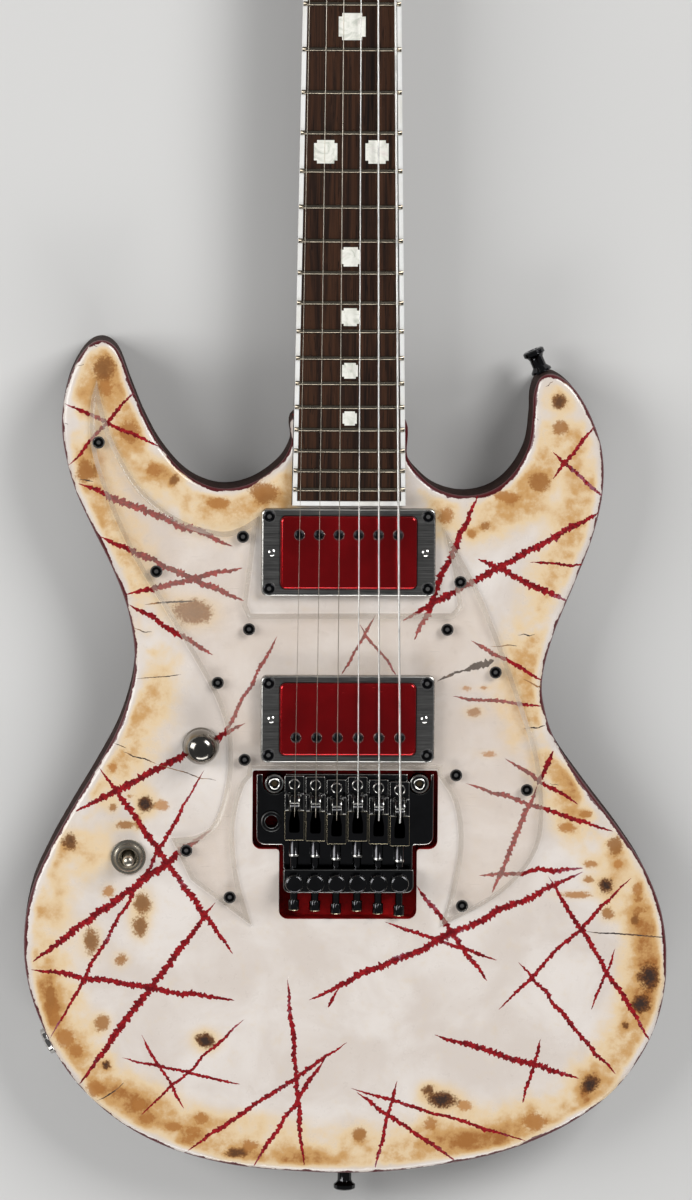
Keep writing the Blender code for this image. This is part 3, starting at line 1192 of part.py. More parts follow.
def main() -> None:
    clear_scene()
    frame = bpy.data.objects.new("guitar_frame", None)
    bpy.context.scene.collection.objects.link(frame)
    frame.location = (0, -CENTRE_Y, 0)
    make_body()
    make_neck()
    make_fretboard()
    make_binding()
    make_guard()
    make_pickup("neck_pickup", NECK_RING_Y, BODY_TOP + GAP, NECK_RING_THICK, POLE_OFFSET)
    make_pickup("bridge_pickup", BRIDGE_RING_Y, GUARD_TOP + GAP, BRIDGE_RING_THICK, -POLE_OFFSET)
    make_locking_nut()
    make_retainer()
    make_strings()
    make_tuners()
    tremolo = make_tremolo_frame()
    make_base_plate(tremolo)
    make_arm_socket(tremolo)
    make_sustain_block(tremolo)
    make_saddles(tremolo)
    make_fine_tuners(tremolo)
    make_studs()
    make_springs()
    make_claw()
    make_back_covers()
    make_volume_control()
    make_selector()
    make_output_jack()
    make_strap_button("strap_button_tail", TAIL_BUTTON_NEAR)
    make_strap_button("strap_button_horn", HORN_BUTTON_NEAR)


if __name__ == "__main__":
    main()
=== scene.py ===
"""Visual model of a left-handed electric guitar with a gouged, burnt and cracked finish.

The guitar lies on its back on a pale floor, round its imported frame. Lengths written here are in millimetres
in the maker's own frame: x across the strings, towards the thick ones; y along the strings, zero at the
saddles; z up from the flat back.
`Shape.piece` turns them to metres in the row's frame.
"""

from __future__ import annotations

import json
import logging
import math
from dataclasses import dataclass, field
from enum import Enum
from typing import Any, Sequence

import bmesh
import bpy
import numpy as np
from mathutils import Matrix, Vector
from mathutils.geometry import delaunay_2d_cdt

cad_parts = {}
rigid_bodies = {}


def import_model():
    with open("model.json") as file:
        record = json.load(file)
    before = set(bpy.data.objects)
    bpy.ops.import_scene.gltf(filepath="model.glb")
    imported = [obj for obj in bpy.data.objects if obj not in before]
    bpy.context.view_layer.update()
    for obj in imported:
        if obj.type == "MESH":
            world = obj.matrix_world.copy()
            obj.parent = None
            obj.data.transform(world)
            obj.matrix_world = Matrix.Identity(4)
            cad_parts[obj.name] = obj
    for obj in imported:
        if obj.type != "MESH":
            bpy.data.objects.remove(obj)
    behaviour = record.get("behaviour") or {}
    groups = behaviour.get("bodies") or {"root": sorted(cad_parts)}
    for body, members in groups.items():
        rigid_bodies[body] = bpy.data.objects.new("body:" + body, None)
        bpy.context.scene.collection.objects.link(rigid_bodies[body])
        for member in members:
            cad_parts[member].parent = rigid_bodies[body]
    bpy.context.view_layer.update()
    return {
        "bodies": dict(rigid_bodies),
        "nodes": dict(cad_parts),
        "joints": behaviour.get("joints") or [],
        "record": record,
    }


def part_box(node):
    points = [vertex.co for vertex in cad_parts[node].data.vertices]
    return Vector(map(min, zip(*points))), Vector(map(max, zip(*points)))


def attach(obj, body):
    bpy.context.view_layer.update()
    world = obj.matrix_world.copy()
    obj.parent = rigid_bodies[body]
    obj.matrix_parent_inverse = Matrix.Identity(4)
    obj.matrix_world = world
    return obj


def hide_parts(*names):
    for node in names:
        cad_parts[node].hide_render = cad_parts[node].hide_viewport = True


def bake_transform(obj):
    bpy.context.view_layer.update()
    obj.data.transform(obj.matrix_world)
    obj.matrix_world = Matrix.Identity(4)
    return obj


LOG = logging.getLogger("guitar")
MM = 0.001
ROW_SHIFT_Y = -316.25

# Sizes that several sub-assemblies share
BOARD_TOP = 49.0
BOARD_END_Y = 153.6
BOARD_RADIUS = 400.0
SCALE_LENGTH = 647.7
NUT_WIDTH = 42.2
BOARD_END_WIDTH = 57.7
GUARD_FOOT = 42.3
GUARD_TOP = 45.3
NECK_RING_Y = 129.4
BRIDGE_RING_Y = 44.0
SADDLE_PITCH = 10.8
NUT_PITCH = 7.4
STRING_RADII = (0.13, 0.17, 0.22, 0.33, 0.46, 0.58)
SADDLE_SETS = (0.0, 0.4, 1.9, 0.4, 1.9, 2.9)
COVER_SIZE = (69.8, 37.5)
RING_SIZE = (88.8, 44.8)
KNIFE_Z = 39.5
PLATE_BOTTOM, PLATE_TOP = 38.0, 41.0
PLATE_WEST, PLATE_EAST = -46.4, 44.8
TAIL_WEST, TAIL_EAST = -32.6, 34.2
PLATE_FRONT, PLATE_WING, PLATE_BACK = 14.6, -22.3, -46.0
PLATE_CORNER = 4.5
STUD_X, STUD_Y = 37.2, 10.0
KNOB_AT = (-75.0, 29.5)
SWITCH_AT = (-112.0, -28.3)
JACK_NEAR = (-154.0, -130.0)
HEAD_FACE = 38.0
FIRST_POST = (22.5, 692.0)
LAST_POST = (-14.5, 817.0)


# Shader arithmetic


class Value:
    """A shader socket that takes part in arithmetic. Each operation adds its Math node."""

    def __init__(self, graph: Graph, socket: bpy.types.NodeSocket) -> None:
        """Wraps a socket.

        Args:
            graph: the finish's graph.
            socket: the output that gives the value.
        """
        self.graph = graph
        self.socket = socket

    def math(self, operation: str, first: Any, second: Any) -> Value:
        """Adds a Math node.

        Args:
            operation: the node's operation.
            first: its first input.
            second: its second input.

        Returns:
            The result.
        """
        return self.graph.node("ShaderNodeMath", {"operation": operation}, {0: first, 1: second})

    def __add__(self, other: Any) -> Value:
        """Sum."""
        return self.math("ADD", self, other)

    def __radd__(self, other: Any) -> Value:
        """Reflected sum."""
        return self.math("ADD", other, self)

    def __sub__(self, other: Any) -> Value:
        """Difference."""
        return self.math("SUBTRACT", self, other)

    def __rsub__(self, other: Any) -> Value:
        """Reflected difference."""
        return self.math("SUBTRACT", other, self)

    def __mul__(self, other: Any) -> Value:
        """Product."""
        return self.math("MULTIPLY", self, other)

    def __rmul__(self, other: Any) -> Value:
        """Reflected product."""
        return self.math("MULTIPLY", other, self)

    def __truediv__(self, other: Any) -> Value:
        """Quotient."""
        return self.math("DIVIDE", self, other)

    def __pow__(self, other: Any) -> Value:
        """Power."""
        return self.math("POWER", self, other)

    def most(self, other: Any) -> Value:
        """The greater of this and another value."""
        return self.math("MAXIMUM", self, other)

    def least(self, other: Any) -> Value:
        """The smaller of this and another value."""
        return self.math("MINIMUM", self, other)

    def step(self, low: float, high: float) -> Value:
        """Rises smoothly from 0 at low to 1 at high, t * t * (3 - 2 * t); low may be the greater.

        Args:
            low: the value that gives 0.
            high: the value that gives 1.

        Returns:
            The share.
        """
        settings = {"interpolation_type": "SMOOTHSTEP"}
        if low < high:
            return self.graph.node("ShaderNodeMapRange", settings,
                                   {"Value": self, "From Min": low, "From Max": high})
        inputs = {"Value": self, "From Min": high, "From Max": low, "To Min": 1.0, "To Max": 0.0}
        return self.graph.node("ShaderNodeMapRange", settings, inputs)


class Graph:
    """The node tree of one finish."""

    def __init__(self, name: str) -> None:
        """Makes a material with a plain shader.

        Args:
            name: the material's name.
        """
        self.material = bpy.data.materials.new(name)
        self.material.use_nodes = True
        self.tree = self.material.node_tree
        self.shader = self.tree.nodes["Principled BSDF"]

    def put(self, socket: bpy.types.NodeSocket, value: Any) -> None:
        """Links or sets one socket.

        Args:
            socket: the input.
            value: a Value to link, or a number, vector or colour to set.
        """
        if isinstance(value, Value):
            self.tree.links.new(value.socket, socket)
        elif socket.type == "RGBA" and len(value) == 3:
            socket.default_value = (*value, 1.0)
        else:
            socket.default_value = value

    def node(self, kind: str, settings: dict | None = None, inputs: dict | None = None,
             output: Any = 0) -> Value:
        """Adds any node.

        Args:
            kind: the node's type.
            settings: its properties, set first; "stops" fills a colour ramp with (place, colour) pairs.
            inputs: values or links by socket name or number.
            output: the socket that is returned.

        Returns:
            The chosen output.
        """
        node = self.tree.nodes.new(kind)
        for key, value in (settings or {}).items():
            if key == "stops":
                ramp = node.color_ramp.elements
                while len(ramp) < len(value):
                    ramp.new(0.5)
                for element, (place, colour) in zip(ramp, value):
                    element.position = place
                    element.color = (*colour, 1.0)
            else:
                setattr(node, key, value)
        for key, value in (inputs or {}).items():
            self.put(node.inputs[key], value)
        return Value(self, node.outputs[output])

    def place(self, scale: Sequence[float] = (1.0, 1.0, 1.0), turn: float = 0.0,
              shift: Sequence[float] = (0, 0, 0)) -> Value:
        """Object coordinates, stretched, turned about z and shifted.

        Args:
            scale: factor along each axis.
            turn: angle about z in radians.
            shift: metres along each axis.

        Returns:
            The vector.
        """
        coordinates = self.node("ShaderNodeTexCoord", output="Object")
        inputs = {"Vector": coordinates, "Scale": scale, "Rotation": (0.0, 0.0, turn), "Location": shift}
        return self.node("ShaderNodeMapping", None, inputs)

    def axis(self, name: str) -> Value:
        """One of the Object coordinates, X, Y or Z, in metres."""
        return self.node("ShaderNodeSeparateXYZ", None, {0: self.place()}, name)

    def noise(self, scale: float, detail: float = 3.0, rough: float = 0.55, where: Value | None = None,
              distortion: float = 0.0) -> Value:
        """Fractal noise about 0.5.

        Args:
            scale: waves per metre.
            detail: octaves.
            rough: share that each octave keeps.
            where: coordinates, Object ones if none.
            distortion: how far the pattern swirls.

        Returns:
            The noise.
        """
        inputs = {"Vector": where or self.place(), "Scale": scale, "Detail": detail, "Roughness": rough,
                  "Distortion": distortion}
        return self.node("ShaderNodeTexNoise", None, inputs)

    def attribute(self, name: str) -> Value:
        """A number stored on the mesh."""
        return self.node("ShaderNodeAttribute", {"attribute_name": name}, None, "Fac")

    def mix(self, share: Any, first: Any, second: Any, mode: str = "MIX") -> Value:
        """Blends two colours.

        Args:
            share: how much of the second shows.
            first: the colour below.
            second: the colour above.
            mode: the blend type.

        Returns:
            The colour.
        """
        settings = {"data_type": "RGBA", "blend_type": mode}
        return self.node("ShaderNodeMix", settings, {0: share, 6: first, 7: second}, 2)

    def ramp(self, value: Value, stops: list) -> Value:
        """A colour by value, from (place, colour) stops."""
        return self.node("ShaderNodeValToRGB", {"stops": stops}, {"Fac": value})

    def bump(self, height: Value, distance: float, strength: float = 1.0,
             under: Value | None = None) -> Value:
        """A normal bent by a height.

        Args:
            height: the height, 0 to 1.
            distance: metres that a height of 1 stands for.
            strength: share of the effect.
            under: a normal to bend further.

        Returns:
            The normal.
        """
        inputs: dict = {"Height": height, "Distance": distance, "Strength": strength}
        if under:
            inputs["Normal"] = under
        return self.node("ShaderNodeBump", None, inputs)

    def finish(self, **sockets: Any) -> bpy.types.Material:
        """Sets the shader's sockets by name, with underscores for spaces.

        Args:
            **sockets: values or links.

        Returns:
            The material.
        """
        for key, value in sockets.items():
            self.put(self.shader.inputs[key.replace("_", " ").title().replace("Ior", "IOR")], value)
        return self.material


# Finishes


@dataclass(frozen=True)
class Finish:
    """A finish that dresses a piece. Each kind says how it is painted."""

    name: str
    slot: str

    def paint(self, graph: Graph) -> None:
        """Fills the graph."""
        raise NotImplementedError

    def material(self) -> bpy.types.Material:
        """The material, made on first use."""
        made = bpy.data.materials.get(self.name)
        if made is None:
            graph = Graph(self.name)
            self.paint(graph)
            made = graph.material
        return made


@dataclass(frozen=True)
class Lacquer(Finish):
    """Cream lacquer that is yellowed and burnt, with dark red wood showing along its rim."""

    def paint(self, graph: Graph) -> None:
        """Cream under amber clouds and scorched spots; red where the rim is worn through.

        The spots come from the mesh's amber, scorch and tone numbers, and the rim from its edge number, the
        distance in millimetres from the outline. Noise breaks up the borders of all.
        """
        edge = graph.attribute("edge")
        amber = graph.attribute("amber")
        scorch = graph.attribute("scorch")
        tone = graph.attribute("tone")
        cloud = graph.noise(28.0, 4.0, 0.6, distortion=0.4)
        fine = graph.noise(900.0, 3.0, 0.7)
        grain = graph.noise(2600.0, 2.0, 0.7)
        mottled = graph.noise(160.0, 4.0, 0.65)

        paper = graph.mix(cloud.step(0.35, 0.7), (0.66, 0.585, 0.525), (0.76, 0.70, 0.65))
        paper = graph.mix(mottled.step(0.52, 0.8) * 0.3, paper, (0.68, 0.55, 0.38))
        near = edge.step(1.5, 6.0) * edge.step(36.0, 8.0)
        band = near * graph.noise(17.0, 4.0, 0.65, graph.place(shift=(0.3, 0.1, 0.0))).step(0.34, 0.60)
        uneven = (mottled - 0.5) * 1.3 + (cloud - 0.5) * 0.8
        warm = (band * 0.50 + amber * 1.05 + uneven * (amber * 0.9 + band * 0.8)).most(0.0).least(1.0)
        colour = graph.mix(warm.step(0.0, 0.36), paper, (0.76, 0.58, 0.36))
        colour = graph.mix(warm.step(0.28, 0.66), colour, (0.58, 0.33, 0.125))
        colour = graph.mix(warm.step(0.62, 1.0), colour, (0.36, 0.145, 0.035))
        burnt = scorch + (fine - 0.5) * 1.2 + (mottled - 0.5) * 1.3 + (cloud - 0.5) * 0.5
        brown = graph.mix(tone.step(0.35, 0.95), (0.45, 0.185, 0.042), (0.115, 0.036, 0.006))
        colour = graph.mix(burnt.step(-0.05, 0.42) * (tone * 0.3 + 0.68), colour, brown)
        colour = graph.mix(burnt.step(0.34, 0.8) * tone.step(0.6, 1.0), colour, (0.030, 0.012, 0.006))
        speck = grain.step(0.66, 0.76) * (warm * 0.7 + 0.06)
        colour = graph.mix(speck, colour, (0.15, 0.06, 0.02))

        ragged = graph.noise(75.0, 5.0, 0.7)
        worn = (ragged - 0.5) * 5.5 + (graph.noise(16.0, 2.0) - 0.5) * 4.0 + 1.0
        rim = (edge - worn).step(0.35, -0.05)
        colour = graph.mix(rim, colour, (0.085, 0.004, 0.007))

        craze = graph.noise(40.0, 3.0, 0.5, distortion=0.6)
        height = craze * 0.5 + mottled * 0.3 + fine * 0.06
        normal = graph.bump(height, 0.0006, 0.35)
        rough = 0.30 + (mottled - 0.5) * 0.22 + tone * scorch.step(0.0, 0.6) * 0.15
        graph.finish(base_color=colour, roughness=rough, coat_weight=0.4 - rim * 0.3, coat_roughness=0.12,
                     normal=normal)


@dataclass(frozen=True)
class ScarRed(Finish):
    """The red wood and paint inside a gouge."""

    def paint(self, graph: Graph) -> None:
        """Crimson, darker in its middle, with pale purple streaks near its rims and towards the body's edge:
        painted glare, together with scraped lacquer.
        """
        rim = graph.attribute("rim")
        edge = graph.attribute("edge")
        streak = graph.noise(420.0, 4.0, 0.75)
        wide = graph.noise(55.0, 2.0, 0.5)
        fine = graph.noise(1500.0, 3.0, 0.7)
        red = graph.mix(streak.step(0.35, 0.65), (0.115, 0.004, 0.007), (0.34, 0.009, 0.013))
        red = graph.mix(rim.step(0.5, 0.05) * 0.4, red, (0.075, 0.002, 0.005))
        # Pale purple near the rims and towards the body's edge: painted glare, together with scraped lacquer.
        glare_and_scraped = (rim - 0.5 + (fine - 0.5) * 1.6 + (wide - 0.62) * 3.2 + edge.step(16.0, 3.0)
                   * 0.35).step(0.42, 0.85)
        colour = graph.mix(glare_and_scraped * 0.5, red, (0.30, 0.16, 0.21))
        normal = graph.bump(streak * 0.7 + fine * 0.3, 0.0005, 0.6)
        graph.finish(base_color=colour, roughness=0.42 + streak * 0.2, specular_ior_level=0.12,
                     coat_weight=0.03,
                     coat_roughness=0.2, normal=normal)


@dataclass(frozen=True)
class Char(Finish):
    """The dark inside of a crack."""

    def paint(self, graph: Graph) -> None:
        """Black that turns to burnt amber along the crack."""
        streak = graph.noise(60.0, 3.0, 0.6)
        fine = graph.noise(900.0, 3.0, 0.7)
        colour = graph.mix(streak.step(0.48, 0.66), (0.028, 0.016, 0.013), (0.32, 0.15, 0.05))
        graph.finish(base_color=colour, roughness=0.5 + fine * 0.2, normal=graph.bump(fine, 0.0004, 0.5))


@dataclass(frozen=True)
class RecessRed(Finish):
    """Red paint inside the body's cavities."""

    def paint(self, graph: Graph) -> None:
        """Deep red, sprayed over routed wood, so that the cutter's rings show faintly."""
        dust = graph.noise(500.0, 4.0, 0.7)
        ring = graph.noise(60.0, 3.0, 0.6, graph.place((1.0, 1.0, 6.0)))
        colour = graph.mix(dust.step(0.35, 0.75), (0.46, 0.006, 0.007), (0.30, 0.005, 0.006))
        graph.finish(base_color=colour, roughness=0.4 + ring * 0.2, specular_ior_level=0.2,
                     normal=graph.bump(ring + dust * 0.3, 0.0004, 0.4))


@dataclass(frozen=True)
class SideStain(Finish):
    """The body's sides and back: dark stained wood under gloss."""

    def paint(self, graph: Graph) -> None:
        """Long faint grain along the guitar, with worn patches and a dark red cast near the top."""
        grain = graph.noise(90.0, 5.0, 0.65, graph.place((4.0, 0.35, 4.0)), 0.5)
        pores = graph.noise(700.0, 3.0, 0.7, graph.place((3.0, 0.12, 3.0)))
        wear = graph.noise(24.0, 5.0, 0.7)
        colour = graph.ramp(grain, [(0.3, (0.016, 0.009, 0.008)), (0.55, (0.040, 0.021, 0.017)),
                                    (0.8, (0.075, 0.038, 0.026))])
        colour = graph.mix(pores.step(0.62, 0.75) * 0.6, colour, (0.008, 0.005, 0.005))
        high = graph.axis("Z").step(0.0385, 0.0405)
        colour = graph.mix(high * 0.85, colour, (0.085, 0.007, 0.008))
        colour = graph.mix(wear.step(0.66, 0.74) * 0.35, colour, (0.12, 0.06, 0.035))
        normal = graph.bump(pores * 0.4 + grain * 0.4, 0.0004, 0.35)
        graph.finish(base_color=colour, roughness=0.6 + wear * 0.2, specular_ior_level=0.06, normal=normal)


@dataclass(frozen=True)
class Plating(Finish):
    """Plated or polished metal with fine marks of use."""

    colour: tuple
    rough: float = 0.1
    wear: float = 0.25
    dark: float = 0.5

    def paint(self, graph: Graph) -> None:
        """A mirror metal whose colour and gloss vary with smears, dust and hairline scratches."""
        smear = graph.noise(110.0, 4.0, 0.65)
        hair = graph.noise(1400.0, 2.0, 0.6, graph.place((0.2, 2.4, 1.0), 0.5))
        dust = graph.noise(2200.0, 2.0, 0.7)
        dull = tuple(c * self.dark for c in self.colour)
        colour = graph.mix(smear.step(0.4, 0.75) * self.wear * 2.0, self.colour, dull)
        rough = self.rough + smear.step(0.45, 0.8) * self.wear * 0.35 + dust.step(0.66, 0.78) * 0.12
        normal = graph.bump(hair * 0.6 + smear * 0.4, 0.00008, 0.4)
        graph.finish(base_color=colour, metallic=1.0, roughness=rough, normal=normal)


@dataclass(frozen=True)
class Brushed(Finish):
    """Metal brushed along one direction."""

    colour: tuple
    across: tuple = (0.6, 40.0, 40.0)
    rough: float = 0.34

    def paint(self, graph: Graph) -> None:
        """Fine lines along the brush's way over slow smears."""
        lines = graph.noise(60.0, 4.0, 0.75, graph.place(self.across))
        smear = graph.noise(70.0, 3.0, 0.6)
        light = tuple(min(1.0, c * 1.35) for c in self.colour)
        dark = tuple(c * 0.62 for c in self.colour)
        colour = graph.mix(lines.step(0.3, 0.7), dark, light)
        colour = graph.mix(smear.step(0.45, 0.8) * 0.35, colour, dark)
        rough = self.rough + (lines - 0.5) * 0.25 + smear * 0.08
        graph.finish(base_color=colour, metallic=1.0, roughness=rough,
                     normal=graph.bump(lines, 0.00012, 0.5))


@dataclass(frozen=True)
class MirrorRed(Finish):
    """Red metal-flake cover under a mirror gloss."""

    def paint(self, graph: Graph) -> None:
        """Deep red with hairline scratches and a hard clear coat."""
        smear = graph.noise(38.0, 3.0, 0.6)
        hair = graph.noise(800.0, 2.0, 0.5, graph.place((0.15, 2.0, 1.0), -0.6))
        scratch = hair.step(0.70, 0.76) * smear.step(0.45, 0.7)
        colour = graph.mix(smear.step(0.3, 0.75), (0.34, 0.002, 0.005), (0.48, 0.004, 0.008))
        colour = graph.mix(scratch * 0.5, colour, (0.75, 0.12, 0.10))
        graph.finish(base_color=colour, metallic=0.82, roughness=0.13 + smear * 0.1 + scratch * 0.2,
                     coat_weight=0.45,
                     coat_roughness=0.04, normal=graph.bump(smear + hair * 0.2, 0.0002, 0.25))


@dataclass(frozen=True)
class Rosewood(Finish):
    """Oiled rosewood with its grain along the neck."""

    def paint(self, graph: Graph) -> None:
        """Chocolate and red-brown bands along y, crossed by short open pores."""
        band = graph.noise(120.0, 5.0, 0.6, graph.place((1.6, 0.05, 1.6)), 0.7)
        fibre = graph.noise(900.0, 4.0, 0.7, graph.place((1.4, 0.035, 1.4)))
        pores = graph.noise(1500.0, 2.0, 0.6, graph.place((1.0, 0.055, 1.0)))
        colour = graph.ramp(band, [(0.32, (0.007, 0.004, 0.003)), (0.45, (0.022, 0.010, 0.006)),
                                   (0.55, (0.048, 0.020, 0.010)),
                                   (0.68, (0.013, 0.007, 0.005))])
        colour = graph.mix(fibre.step(0.50, 0.70) * 0.5, colour, (0.068, 0.028, 0.014))
        pore = pores.step(0.60, 0.68)
        colour = graph.mix(pore * 0.8, colour, (0.009, 0.005, 0.004))
        normal = graph.bump(1.0 - pore * 0.8 + fibre * 0.25, 0.00018, 0.6)
        graph.finish(base_color=colour, roughness=0.50 + pore * 0.25 + fibre * 0.1, specular_ior_level=0.12,
                     normal=normal)


@dataclass(frozen=True)
class Pearl(Finish):
    """Mother-of-pearl squares."""

    def paint(self, graph: Graph) -> None:
        """White swirled with grey, green and pink, each cloud with its own gloss."""
        swirl = graph.noise(130.0, 3.0, 0.6, distortion=1.6)
        other = graph.noise(120.0, 2.0, 0.5, distortion=2.0)
        colour = graph.ramp(swirl, [(0.3, (0.58, 0.60, 0.52)), (0.45, (0.78, 0.78, 0.70)),
                                    (0.58, (0.90, 0.89, 0.82)),
                                    (0.75, (0.72, 0.72, 0.65))])
        colour = graph.mix(other.step(0.55, 0.75) * 0.35, colour, (0.80, 0.68, 0.66))
        graph.finish(base_color=colour, roughness=0.18 + swirl * 0.15, coat_weight=0.5,
                     normal=graph.bump(swirl, 0.0001, 0.3))


@dataclass(frozen=True)
class Binding(Finish):
    """Polished white plastic strip."""

    def paint(self, graph: Graph) -> None:
        """White with faint yellow clouds and specks of grime."""
        cloud = graph.noise(60.0, 3.0, 0.6)
        grime = graph.noise(700.0, 3.0, 0.7)
        colour = graph.mix(cloud.step(0.4, 0.75), (0.83, 0.83, 0.81), (0.76, 0.745, 0.69))
        colour = graph.mix(grime.step(0.68, 0.8) * 0.3, colour, (0.42, 0.38, 0.33))
        graph.finish(base_color=colour, roughness=0.22 + cloud * 0.12, coat_weight=0.3,
                     normal=graph.bump(grime, 0.00008, 0.3))


@dataclass(frozen=True)
class Winding(Finish):
    """A string: bare or wound wire."""

    colour: tuple
    pitch: float = 0.0

    def paint(self, graph: Graph) -> None:
        """Bright wire, dulled in patches; a wound one has turns across it, a sine along y, with painted shade
        in the troughs between them.
        """
        smear = graph.noise(90.0, 3.0, 0.6)
        dull = tuple(c * 0.55 for c in self.colour)
        colour = graph.mix(smear.step(0.45, 0.75) * 0.8, self.colour, dull)
        height = smear
        if self.pitch:
            phase = graph.axis("Y") * (math.tau / (self.pitch * MM))
            turns = graph.node("ShaderNodeMath", {"operation": "SINE"}, {0: phase}) * 0.5 + 0.5
            # Darkening in the troughs between the turns: painted shade.
            colour = graph.mix(turns.step(0.35, 0.0) * 0.75, colour, tuple(c * 0.3 for c in self.colour))
            height = turns
        graph.finish(base_color=colour, metallic=1.0, roughness=0.22 + smear * 0.2,
                     normal=graph.bump(height, 0.00006, 0.6))


class Face(Enum):
    """The two parts of the clear guard's surface."""

    FLAT = "flat"
    BEVEL = "bevel"


@dataclass(frozen=True)
class Acrylic(Finish):
    """Clear acrylic: hazy and scratched on the flat, greyer on the polished bevel."""

    face: Face

    def paint(self, graph: Graph) -> None:
        """A mostly clear sheet. Its haze grows with scratches, and on the bevel light is lost in the edge."""
        haze = graph.noise(26.0, 3.0, 0.6)
        hair = graph.noise(520.0, 2.0, 0.5, graph.place((0.12, 2.2, 1.0), 0.7))
        other = graph.noise(480.0, 2.0, 0.5, graph.place((0.1, 2.0, 1.0), -1.2))
        scratch = hair.step(0.71, 0.77).most(other.step(0.72, 0.78))
        if self.face is Face.FLAT:
            colour = graph.mix(haze.step(0.4, 0.7), (0.80, 0.66, 0.54), (0.88, 0.74, 0.60))
            alpha = 0.065 + haze.step(0.4, 0.8) * 0.045 + scratch * 0.10
            normal = graph.bump(scratch + haze * 0.3, 0.0001, 0.4)
        else:
            colour = graph.mix(haze.step(0.4, 0.7), (0.36, 0.31, 0.25), (0.66, 0.59, 0.50))
            alpha = 0.32 + haze.step(0.35, 0.75) * 0.16
            normal = graph.bump(haze, 0.0002, 0.3)
        graph.finish(base_color=colour, alpha=alpha, roughness=0.07 + scratch * 0.3 + haze * 0.06,
                     normal=normal)


@dataclass(frozen=True)
class NeckLacquer(Finish):
    """Dark stained neck wood under satin lacquer."""

    def paint(self, graph: Graph) -> None:
        """Straight grain along y, polished by the hand in patches."""
        grain = graph.noise(160.0, 5.0, 0.65, graph.place((1.8, 0.05, 1.8)), 0.4)
        fibre = graph.noise(800.0, 3.0, 0.7, graph.place((1.5, 0.04, 1.5)))
        hand = graph.noise(9.0, 3.0, 0.6)
        colour = graph.ramp(grain, [(0.3, (0.030, 0.017, 0.012)), (0.55, (0.062, 0.036, 0.024)),
                                    (0.75, (0.095, 0.056, 0.034))])
        colour = graph.mix(fibre.step(0.58, 0.75) * 0.5, colour, (0.02, 0.011, 0.009))
        graph.finish(base_color=colour, roughness=0.22 + hand * 0.3, coat_weight=0.35, coat_roughness=0.15,
                     normal=graph.bump(grain * 0.5 + fibre * 0.5, 0.0002, 0.35))


@dataclass(frozen=True)
class CoverPlastic(Finish):
    """Satin black plastic of the back covers."""

    def paint(self, graph: Graph) -> None:
        """Black with fine moulded grain and grey scuffs."""
        grain = graph.noise(1800.0, 2.0, 0.6)
        scuff = graph.noise(300.0, 3.0, 0.7, graph.place((0.3, 2.0, 1.0), 0.9))
        colour = graph.mix(scuff.step(0.66, 0.78) * 0.5, (0.016, 0.016, 0.017), (0.09, 0.09, 0.09))
        graph.finish(base_color=colour, roughness=0.38 + grain * 0.15,
                     normal=graph.bump(grain, 0.00008, 0.6))


@dataclass(frozen=True)
class FloorPaper(Finish):
    """The studio's pale floor."""

    def paint(self, graph: Graph) -> None:
        """Warm pale grey."""
        cloud = graph.noise(2.0, 2.0, 0.5)
        colour = graph.mix(cloud, (0.60, 0.595, 0.585), (0.63, 0.625, 0.61))
        graph.finish(base_color=colour, roughness=0.85)


LACQUER = Lacquer("cream_lacquer_burnt", "cream_lacquer")
SCAR = ScarRed("scar_crimson", "cream_lacquer")
CHAR = Char("crack_char", "cream_lacquer")
RECESS = RecessRed("recess_red", "cream_lacquer")
SIDES = SideStain("side_stain", "cream_lacquer")
BLACK_CHROME = Plating("black_chrome_plate", "black_chrome", (0.062, 0.062, 0.065), 0.10, 0.22)
# Painted highlight: a light copy of the plating, put on rounded edges and rims of dark parts.
HIGHLIGHT_EDGE = Plating("black_chrome_painted_highlight", "black_chrome", (0.50, 0.49, 0.46), 0.24, 0.3, 0.35)
# A warm painted highlight for edges and bands of black chrome parts.
GOLDEN_HIGHLIGHT = Plating("golden_painted_highlight", "black_chrome", (0.55, 0.48, 0.33), 0.26, 0.4, 0.35)
# A faint painted highlight for edges of black chrome parts.
DIM_HIGHLIGHT = Plating("dim_painted_highlight", "black_chrome", (0.15, 0.15, 0.145), 0.28, 0.3, 0.5)
KNOB_CHROME = Plating("smoked_knob_chrome", "polished_steel", (0.24, 0.225, 0.20), 0.13, 0.25)
SWITCH_NICKEL = Plating("warm_switch_nickel", "polished_steel", (0.52, 0.48, 0.40), 0.27, 0.3, 0.6)
BLACK_STEEL = Plating("black_screw_steel", "black_chrome", (0.022, 0.022, 0.024), 0.26, 0.3)
NICKEL = Plating("polished_nickel", "polished_steel", (0.66, 0.64, 0.61), 0.09, 0.25)
# A brass-tinted painted glint, put in the studs' sockets and on the saddles' clamp inserts.
BRASS_GLINT = Plating("brass_glint", "black_chrome", (0.20, 0.15, 0.085), 0.36, 0.4)
FRET_WIRE = Plating("fret_wire", "rosewood", (0.30, 0.26, 0.20), 0.22, 0.35)
CAST = Plating("cast_block_metal", "cast_block", (0.16, 0.16, 0.165), 0.42, 0.4)
RING_STEEL = Brushed("brushed_ring_steel", "brushed_steel", (0.17, 0.168, 0.162))
